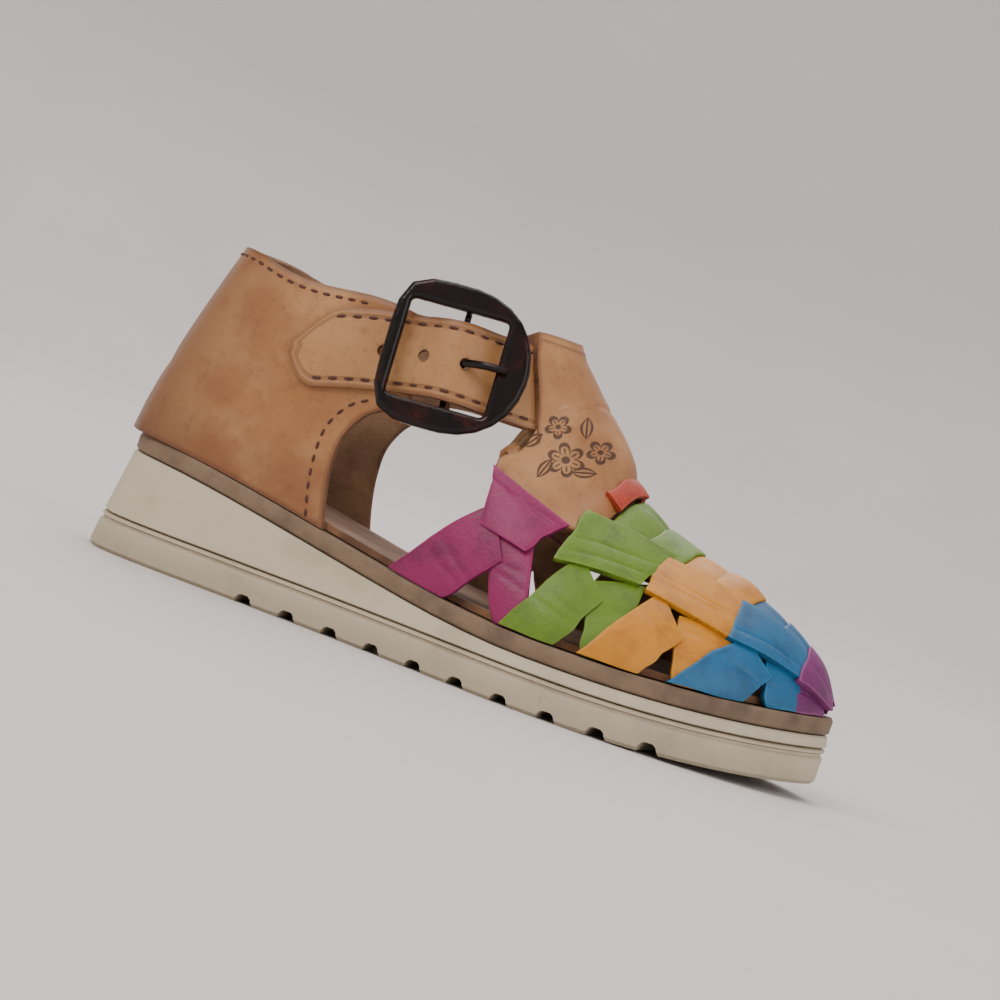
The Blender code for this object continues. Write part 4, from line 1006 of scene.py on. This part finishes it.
@dataclass
class Looks:
    """All finishes of the sandal."""

    made: dict = field(default_factory=dict)

    def __post_init__(self) -> None:
        """Build every finish."""
        tan, deep, pale = paint(154, 100, 54), paint(90, 46, 18), paint(182, 132, 84)
        finishes = (
            GrainLeather("counter_leather", tan, deep, pale, (), 0.75),
            GrainLeather("strap_leather", paint(170, 119, 72), deep, pale, (1.8,)),
            GrainLeather("shield_leather", paint(158, 105, 62), deep, pale, (), 0.0, True),
            Suede("inner_suede", paint(158, 122, 92), paint(120, 88, 62)),
            Suede("footbed_suede", paint(150, 108, 76), paint(104, 72, 50), 1.2),
            CutEdge("tan_edge", paint(150, 104, 72), paint(82, 46, 28)),
            FoamRubber("sole_foam", paint(196, 183, 158), paint(140, 126, 102),
                       paint(150, 133, 115), True),
            FoamRubber("wedge_foam", paint(200, 188, 163), paint(150, 136, 110),
                       paint(150, 133, 115)),
            EdgeBoard("welt_board", paint(124, 102, 80), paint(98, 78, 60)),
            BuckleEnamel("buckle_enamel", paint(12, 5, 4), paint(48, 14, 10)),
            WaxedThread("waxed_thread", paint(58, 26, 18)),
        )
        dyes = {
            Dye.MAGENTA: ((136, 0, 80), (78, 0, 46), (176, 34, 118)),
            Dye.GREEN: ((92, 126, 8), (48, 74, 3), (146, 172, 58)),
            Dye.YELLOW: ((200, 128, 0), (150, 80, 0), (218, 164, 18)),
            Dye.BLUE: ((0, 92, 138), (0, 46, 84), (34, 136, 174)),
            Dye.PURPLE: ((112, 22, 98), (66, 10, 60), (196, 116, 168)),
            Dye.ORANGE: ((172, 44, 10), (112, 26, 6), (206, 104, 54)),
        }
        for finish in finishes:
            self.made[finish.name] = finish.build()
        for dye, (base, dark, worn) in dyes.items():
            name = f"{dye.value}_leather"
            self.made[name] = DyedLeather(name, paint(*base), paint(*dark), paint(*worn)).build()
            name = f"{dye.value}_edge"
            mid = tuple((2 * a + b) // 3 for a, b in zip(base, worn))
            self.made[name] = CutEdge(name, paint(*mid), paint(*dark)).build()

    def __getitem__(self, name: str) -> bpy.types.Material:
        """Finish of a name."""
        return self.made[name]

    def tan(self, outside: str) -> tuple:
        """Outside, cut edge and flesh side of a tan piece."""
        return self[outside], self["tan_edge"], self["inner_suede"]

    def dyed(self, dye: Dye) -> tuple:
        """Outside, cut edge and flesh side of a woven strip."""
        return self[f"{dye.value}_leather"], self[f"{dye.value}_edge"], self["inner_suede"]


@dataclass
class HeelCounter:
    """Heel counter with a tab under the buckle on each side."""

    last: Last
    looks: Looks
    wall: float = 0.0022
    collar: float = 0.0730
    dip: float = 0.0028
    dip_start: float = 0.010
    tab_top: float = 0.0587
    columns: int = 34
    front: tuple = (
        (0.00, 0.322, 0.000), (0.14, 0.310, 0.041), (0.28, 0.304, 0.079),
        (0.41, 0.306, 0.116), (0.52, 0.325, 0.154), (0.60, 0.355, 0.177),
        (0.66, 0.374, 0.183), (0.83, 0.360, 0.240), (1.00, 0.345, 0.298))

    def collar_height(self, along: float) -> float:
        """Height of the collar line over the footbed."""
        share = min(1.0, max(0.0, (along - self.dip_start) / (self.tab_top - self.dip_start)))
        return self.collar - self.dip * math.sin(math.pi * share) - self.last.footbed(along)

    def grid(self) -> np.ndarray:
        """Grid of the counter, lower edge first."""
        last, size = self.last, self.last.sole_length
        low = [last.arc_of(self.front[0][1] * size, sign) for sign in (-1, 1)]
        high = [last.arc_of(self.front[-1][1] * size, sign) for sign in (-1, 1)]
        grid = []
        for v, along, climb in self.front:
            front = [last.arc_of(along * size, sign) for sign in (-1, 1)]
            row = []
            for i in range(self.columns + 1):
                s = i / self.columns
                low_arc = low[0] + (low[1] - low[0]) * s
                high_arc = high[0] + (high[1] - high[0]) * s
                arc = low_arc + (high_arc - low_arc) * v
                near = max(0.0, 1.0 - s / 0.32) ** 2
                far = max(0.0, 1.0 - (1.0 - s) / 0.32) ** 2
                arc += near * (front[0] - low[0] - (high[0] - low[0]) * v)
                arc += far * (front[1] - low[1] - (high[1] - low[1]) * v)
                place, side = last.edge_point(arc)
                height = v * self.collar_height(last.edge_point(high_arc)[0])
                height += (near + far) * (climb * size - height)
                row.append(last.wall_point(place, side, height))
            grid.append(row)
        return np.array(grid)

    def build(self) -> list[bpy.types.Object]:
        """Model the counter and its stitching."""
        troughs = (Trough((0.10, 0.30), (0.24, 0.62), 0.035, 0.00035),
                   Trough((0.80, 0.25), (0.90, 0.70), 0.035, 0.00035),
                   Trough((0.42, 0.30), (0.60, 0.38), 0.050, 0.00030))
        panel = Panel("heel_counter", self.last, self.grid(), 0.0, self.wall,
                      self.looks.tan("counter_leather"), (5, 4), 0.0005, 0.0, troughs)
        pieces = [panel.make()]
        thread = self.looks["waxed_thread"]
        rows = (("collar_stitches", "high", 0.0020, 0.09, 0.91),
                ("front_stitches_outer", "start", 0.0042, 0.02, 0.60),
                ("front_stitches_inner", "end", 0.0042, 0.02, 0.60))
        for name, way, inset, first, end in rows:
            points, normals = panel.line(inset, way, first, end)
            row = StitchRow(name, points, normals, self.last.centre)
            pieces.append(row.make(thread))
        return pieces


@dataclass
class AnkleStrap:
    """Ankle strap with its pointed end, punched holes and stitched edges."""

    last: Last
    looks: Looks
    wall: float = 0.0016
    counter_wall: float = 0.0022
    lap: float = 0.0004
    width: float = 0.0172
    tip: float = 0.0347
    tip_height: float = 0.0558
    tip_run: float = 0.0090
    front_height: float = 0.0638
    climb_run: float = 0.0355
    climb_power: float = 1.6
    buckle_along: float = 0.0695
    hump: float = 0.0042
    hump_run: float = 0.0060
    hole_radius: float = 0.00125
    hole_pitch: float = 0.0088
    hole_lead: float = 0.0024
    hole_count: int = 3
    punch_length: float = 0.0200
    punch_rise: float = 0.0105
    tip_share: float = 0.06
    columns: int = 46

    def level(self, share: float) -> object:
        """Height of the strap's line, share 0 at its lower edge."""
        def height(along: float) -> float:
            """Height of the line at one distance along."""
            rest = 1.0 - min(1.0, max(0.0, (along - self.tip) / self.climb_run))
            climb = self.front_height - self.tip_height
            middle = self.front_height - climb * rest ** self.climb_power
            slope = climb * self.climb_power * rest ** (self.climb_power - 1) / self.climb_run
            return middle + (share - 0.5) * self.width * math.hypot(1.0, slope)
        return height

    def angle_at(self, along: float, sign: int) -> float:
        """Angle about the ankle at which the strap passes a distance along."""
        low, high = 0.0, math.pi
        for _ in range(22):
            middle = (low + high) / 2
            if self.last.ring_point(sign * middle, self.level(0.5))[0] > along:
                low = middle
            else:
                high = middle
        return sign * middle

    def lift(self, point: np.ndarray) -> float:
        """Lift of the strap over the last, with the rise over the buckle's bar."""
        base = self.counter_wall - self.lap
        if point[1] > 0.0:
            return base
        away = (point[0] - self.buckle_along) / self.hump_run
        return base + (self.hump - base) * math.exp(-away ** 2)

    def build(self) -> list[bpy.types.Object]:
        """Model the strap, punch its holes and sew its edges."""
        start, end = self.angle_at(self.tip, -1), math.pi / 2
        angles = [start + (end - start) * i / self.columns for i in range(self.columns + 1)]
        middle = np.array([self.last.ring_point(a, self.level(0.5)) for a in angles])
        run = np.concatenate([[0.0], np.cumsum(np.linalg.norm(np.diff(middle, axis=0), axis=1))])
        grid = []
        for share in (0.0, 0.25, 0.5, 0.75, 1.0):
            row = []
            for angle, far in zip(angles, run):
                point = min(1.0, far / self.tip_run)
                width = max(self.tip_share, 1.0 - (1.0 - point) ** 2)
                row.append(self.last.ring_point(angle, self.level(0.5 + (share - 0.5) * width)))
            grid.append(row)
        lift = np.array([[self.lift(p) for p in middle]] * 5)
        troughs = (Trough((0.30, 0.0), (0.31, 1.0), 0.012, 0.0002),
                   Trough((0.50, 0.0), (0.52, 1.0), 0.015, 0.0002))
        panel = Panel("ankle_strap", self.last, np.array(grid), lift, self.wall,
                      self.looks.tan("strap_leather"), (4, 5), 0.0004, 0.00015, troughs)
        strap = panel.make()
        for number in range(self.hole_count):
            along = self.buckle_along + self.hole_lead - number * self.hole_pitch
            self.punch(strap, along, number)
        bpy.ops.object.shade_smooth_by_angle(angle=SMOOTH_ANGLE)
        pieces = [strap]
        thread = self.looks["waxed_thread"]
        for name, way in (("strap_stitches_low", "low"), ("strap_stitches_high", "high")):
            points, normals = panel.line(0.0019, way, 0.06, 0.98)
            row = StitchRow(name, points, normals, self.last.centre, 0.0036, 0.0023, 0.0004)
            pieces.append(row.make(thread))
        return pieces

    def punch(self, strap: bpy.types.Object, along: float, number: int) -> None:
        """Cut one round hole through the strap."""
        angle = self.angle_at(along, -1)
        low = self.last.ring_point(angle, self.level(0.0))
        high = self.last.ring_point(angle, self.level(1.0))
        up = Vector(high - low).normalized()
        ahead = Vector(self.last.ring_point(angle - 0.05, self.level(0.5)))
        ahead -= Vector(self.last.ring_point(angle + 0.05, self.level(0.5)))
        outward = ahead.cross(up).normalized()
        outward = -outward if outward.y > 0.0 else outward
        middle = Vector((low + high) / 2) - Vector((*self.last.centre, 0.0))
        bpy.ops.object.select_all(action="DESELECT")
        bpy.ops.mesh.primitive_cylinder_add(vertices=24, radius=self.hole_radius,
                                            depth=self.punch_length)
        rod = bpy.context.object
        rod.matrix_world = (Matrix.Translation(middle + outward * self.punch_rise)
                            @ outward.to_track_quat("Z", "Y").to_matrix().to_4x4())
        rod.data.materials.append(self.looks["tan_edge"])
        hole = strap.modifiers.new(f"Hole {number}", "BOOLEAN")
        hole.operation = "DIFFERENCE"
        hole.solver = "EXACT"
        hole.object = rod
        apply_all(strap)
        bpy.data.objects.remove(rod)


@dataclass
class TStrap:
    """T-strap: wings over the instep, a neck over the ankle strap and its fold."""

    last: Last
    looks: Looks
    strap: AnkleStrap
    wall: float = 0.0022
    columns: int = 5
    ramp: float = 0.0050
    over: float = 0.0030
    fold_top: float = 0.0752
    fold: float = 0.0034
    rise_centre: float = 0.0612
    rise_edge: float = 0.0485
    rise_rows: int = 6
    back_heights: tuple = (0.050, 0.058, 0.066)
    low_angle: float = math.radians(25.5)
    top_angle: float = math.radians(21.3)
    back_angle: float = math.radians(19)
    rows: tuple = (
        (0.660, 0.658, 0.800), (0.649, 0.636, 0.480), (0.628, 0.608, 0.410),
        (0.602, 0.572, 0.378), (0.590, 0.538, 0.356), (0.579, 0.508, 0.345),
        (0.568, 0.512, 0.440))

    def lift(self, point: np.ndarray) -> float:
        """Lift of the neck where it rises over the ankle strap."""
        low = self.strap.level(0.0)(point[0])
        return self.over * ease(low - self.ramp, low, point[2])

    def level_row(self, centre: float, edge: float, reach: float) -> list[np.ndarray]:
        """Cross row of the neck between an edge height and a centre height."""
        row = []
        for j in range(-self.columns, self.columns + 1):
            share = abs(j) / self.columns
            height = centre + (edge - centre) * share ** 1.5
            angle = -reach * share if j < 0 else reach * share
            row.append(self.last.ring_point(angle, lambda along, h=height: h))
        return row

    def build(self) -> list[bpy.types.Object]:
        """Model the T-strap and its fold."""
        grid = []
        for ridge, edge, climb in self.rows:
            line = []
            for j in range(-self.columns, self.columns + 1):
                share = abs(j) / self.columns
                turn = 1.0 + (climb - 1.0) * share
                line.append(self.last.foot_point(ridge + (edge - ridge) * share,
                                                 turn if j < 0 else 2.0 - turn))
            grid.append(line)
        top = self.fold_top - self.fold / 2
        for i in range(1, self.rise_rows + 1):
            t = i / self.rise_rows
            centre = self.rise_centre + (top - self.rise_centre) * t
            edge = self.rise_edge + (top - self.rise_edge) * t
            reach = self.low_angle + (self.top_angle - self.low_angle) * t
            grid.append(self.level_row(centre, edge, reach))
        grid = np.array(grid)
        lift = np.array([[self.lift(p) for p in row] for row in grid])
        troughs = (Trough((0.22, 0.42), (0.78, 0.46), 0.030, 0.0003),
                   Trough((0.30, 0.56), (0.70, 0.58), 0.025, 0.0003))
        neck = Panel("t_strap", self.last, grid, lift, self.wall,
                     self.looks.tan("shield_leather"), (5, 5), 0.0004, 0.0, troughs)
        pieces = [neck.make()]
        back = [self.level_row(h, h, self.back_angle) for h in (*self.back_heights, top)]
        inner = Panel("neck_return", self.last, np.array(back), 0.00015, 0.0019,
                      self.looks.tan("shield_leather"), (4, 5))
        pieces.append(inner.make())
        cap = [self.level_row(h, h, self.top_angle)
               for h in (self.fold_top - self.fold, self.fold_top - self.fold / 2, self.fold_top)]
        fold = Panel("neck_fold", self.last, np.array(cap), 0.0003, 0.0048,
                     self.looks.tan("shield_leather"), (3, 5), 0.0014)
        pieces.append(fold.make())
        return pieces


@dataclass
class Weave:
    """Woven strips over the toes."""

    last: Last
    looks: Looks
    wall: float = 0.0016
    step: float = 0.00065
    strip_waver: float = 0.0011
    crown_waver: float = 0.0009
    crown_rise: float = 0.35
    seed: int = 7

    def build(self) -> list[bpy.types.Object]:
        """Model every strip on both sides and across the top line."""
        chance = np.random.default_rng(self.seed)
        pieces = []
        for number, strip in enumerate(STRIPS):
            for side in ("outer", "inner"):
                grid = []
                for i in range(3):
                    t = i / 2
                    row = []
                    for j in range(6):
                        s = j / 5
                        low = np.array(strip.rear_low) * (1 - t) + np.array(strip.front_low) * t
                        high = np.array(strip.rear_high) * (1 - t)
                        high = high + np.array(strip.front_high) * t
                        along, climb = low * (1 - s) + high * s
                        if t != 0.5:
                            along += chance.normal(0.0, self.strip_waver)
                        row.append(self.last.foot_point(
                            along, climb if side == "outer" else 2.0 - climb))
                    grid.append(row)
                pieces.append(self.piece(f"{strip.dye.value}_strip_{number + 1}_{side}",
                                         np.array(grid), strip.layer, strip.dye, chance))
        for number, crown in enumerate(CROWNS):
            grid = []
            for i in range(3):
                row = []
                for j in range(-4, 5):
                    share = abs(j) / 4
                    along = crown.rear + (crown.front - crown.rear) * i / 2
                    along += crown.sweep * share + chance.normal(0.0, self.crown_waver)
                    climb = 1.0 + (crown.climb - 1.0) * share
                    row.append(self.last.foot_point(along, climb if j < 0 else 2.0 - climb))
                grid.append(row)
            pieces.append(self.piece(f"{crown.dye.value}_crown_{number + 1}", np.array(grid),
                                     crown.layer + self.crown_rise, crown.dye, chance))
        return pieces

    def piece(self, name: str, grid: np.ndarray, layer: float, dye: Dye,
              chance: np.random.Generator) -> bpy.types.Object:
        """Model one strip with a soft crown and a few creases."""
        troughs = tuple(
            Trough((c, 0.0), (c + chance.uniform(-0.10, 0.10), 1.0), 0.030, 0.00022)
            for c in chance.uniform(0.15, 0.85, 2))
        panel = Panel(name, self.last, grid, self.step * layer, self.wall,
                      self.looks.dyed(dye), (6, 6), 0.00045, 0.00035, troughs)
        return panel.make()


@dataclass
class FirmParts:
    """Sole, insole and buckle: the solids themselves with smooth shading."""

    looks: Looks
    smooth_angle: float = math.radians(34)
    casting_grain: float = 0.00030
    casting_passes: int = 7
    finishes: tuple = (
        ("outsole", "sole_foam", "moulded_outsole"), ("foam_wedge", "wedge_foam", "moulded_wedge"),
        ("welt", "welt_board", "edge_board"), ("insole", "footbed_suede", "suede_footbed"),
        ("buckle_frame", "buckle_enamel", "cast_buckle"),
        ("buckle_prong", "buckle_enamel", "cast_prong"))

    def build(self) -> list[bpy.types.Object]:
        """Copy each solid, merge it and give it its finish."""
        pieces = []
        for node, look, name in self.finishes:
            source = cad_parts[node]
            piece = source.copy()
            piece.data = source.data.copy()
            piece.name = name
            piece.parent = None
            piece.matrix_world = source.matrix_world
            bpy.context.scene.collection.objects.link(piece)
            select_only(piece)
            bpy.ops.object.mode_set(mode="EDIT")
            bpy.ops.mesh.select_all(action="SELECT")
            bpy.ops.mesh.remove_doubles(threshold=1e-6)
            bpy.ops.mesh.customdata_custom_splitnormals_clear()
            bpy.ops.object.mode_set(mode="OBJECT")
            piece.data.materials.clear()
            piece.data.materials.append(self.looks[look])
            if node == "buckle_frame":
                self.round_casting(piece)
            bpy.ops.object.shade_smooth_by_angle(angle=self.smooth_angle)
            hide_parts(node)
            "buckle" if node.startswith("buckle") else node
            pieces.append(piece)
        return pieces

    def round_casting(self, piece: bpy.types.Object) -> None:
        """Give the cast frame the soft corners of a poured piece."""
        skin = piece.modifiers.new("Skin", "REMESH")
        skin.mode = "VOXEL"
        skin.voxel_size = self.casting_grain
        soften = piece.modifiers.new("Soften", "SMOOTH")
        soften.factor = 0.5
        soften.iterations = self.casting_passes
        apply_all(piece)


@dataclass
class Studio:
    """Pale floor, soft lights and the camera at the photograph's angle."""

    target: Vector = field(default_factory=lambda: Vector((0.0, 0.0, 0.0395)))
    distance: float = 0.783
    azimuth: float = 10.4
    elevation: float = 1.6
    roll: float = 19.5
    field_px: float = 3550.0

    def floor(self) -> bpy.types.Object:
        """Round floor that sweeps up to a pale wall."""
        bpy.ops.object.select_all(action="DESELECT")
        bpy.ops.mesh.primitive_circle_add(vertices=96, radius=0.9, fill_type="NGON")
        sweep = bpy.context.object
        sweep.name = "floor_sweep"
        bpy.ops.object.mode_set(mode="EDIT")
        bpy.ops.mesh.select_mode(type="EDGE")
        bpy.ops.mesh.select_all(action="SELECT")
        for rise, widen in ((0.01, 1.16), (0.05, 1.13), (0.12, 1.09), (0.24, 1.05), (1.2, 1.02)):
            bpy.ops.mesh.extrude_region_move(TRANSFORM_OT_translate={"value": (0.0, 0.0, rise)})
            bpy.ops.transform.resize(value=(widen, widen, 1.0))
            bpy.ops.mesh.select_mode(type="EDGE")
        bpy.ops.object.mode_set(mode="OBJECT")
        tree = FinishTree("studio_paper")
        paper = tree.noise(tree.place(), 60.0, 3.0)
        colour = tree.mix(paper, (0.66, 0.63, 0.62), (0.71, 0.68, 0.67))
        sweep.data.materials.append(tree.finish(colour, 0.85))
        bpy.ops.object.shade_smooth()
        return sweep

    def lights(self) -> None:
        """Soft lights over and beside the shoe."""
        lamps = (("key", (-0.45, -0.75, 0.95), 0.7, 9.0, (1.0, 0.97, 0.93)),
                 ("fill", (0.80, -0.60, 0.45), 0.8, 3.5, (0.93, 0.96, 1.0)),
                 ("top", (0.0, 0.25, 1.25), 0.9, 7.0, (1.0, 1.0, 1.0)),
                 ("back", (-0.2, 0.9, 0.7), 0.7, 3.5, (1.0, 0.98, 0.95)))
        for name, place, size, power, colour in lamps:
            data = bpy.data.lights.new(name, "AREA")
            data.energy = power
            data.size = size
            data.color = colour
            lamp = bpy.data.objects.new(name, data)
            lamp.location = place
            lamp.rotation_euler = (self.target - Vector(place)).to_track_quat("-Z", "Y").to_euler()
            bpy.context.scene.collection.objects.link(lamp)
        world = bpy.data.worlds.new("soft_room")
        world.use_nodes = True
        world.node_tree.nodes["Background"].inputs[0].default_value = (0.95, 0.96, 1.0, 1.0)
        world.node_tree.nodes["Background"].inputs[1].default_value = 0.45
        bpy.context.scene.world = world

    def camera(self) -> None:
        """Camera at the photograph's angle, rolled as the photograph shows the shoe."""
        turn, rise = math.radians(self.azimuth), math.radians(self.elevation)
        back = Vector((math.sin(turn) * math.cos(rise), -math.cos(turn) * math.cos(rise),
                       math.sin(rise)))
        data = bpy.data.cameras.new("camera")
        data.sensor_width = 36.0
        data.lens = self.field_px / 1000.0 * data.sensor_width
        data.clip_start = 0.01
        data.clip_end = 20.0
        camera = bpy.data.objects.new("camera", data)
        camera.location = self.target + back * self.distance
        look = (-back).to_track_quat("-Z", "Y").to_matrix().to_4x4()
        turned = look @ Matrix.Rotation(math.radians(self.roll), 4, "Z")
        camera.rotation_euler = turned.to_euler()
        bpy.context.scene.collection.objects.link(camera)
        bpy.context.scene.camera = camera


def main() -> None:
    """Build every piece, dress it and report it."""
    logging.basicConfig(level=logging.INFO, format="%(message)s")
    studio = Studio()
    studio.floor()
    studio.lights()
    studio.camera()
    last = Last()
    looks = Looks()
    strap = AnkleStrap(last, looks)
    leather = HeelCounter(last, looks).build()
    leather += strap.build()
    leather += TStrap(last, looks, strap).build()
    leather += Weave(last, looks).build()
    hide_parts("upper")
    for piece in leather + FirmParts(looks).build():
        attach(piece, BODY)
        log.info("%s: %d faces", piece.name, len(piece.data.polygons))


if __name__ == "__main__":
    main()
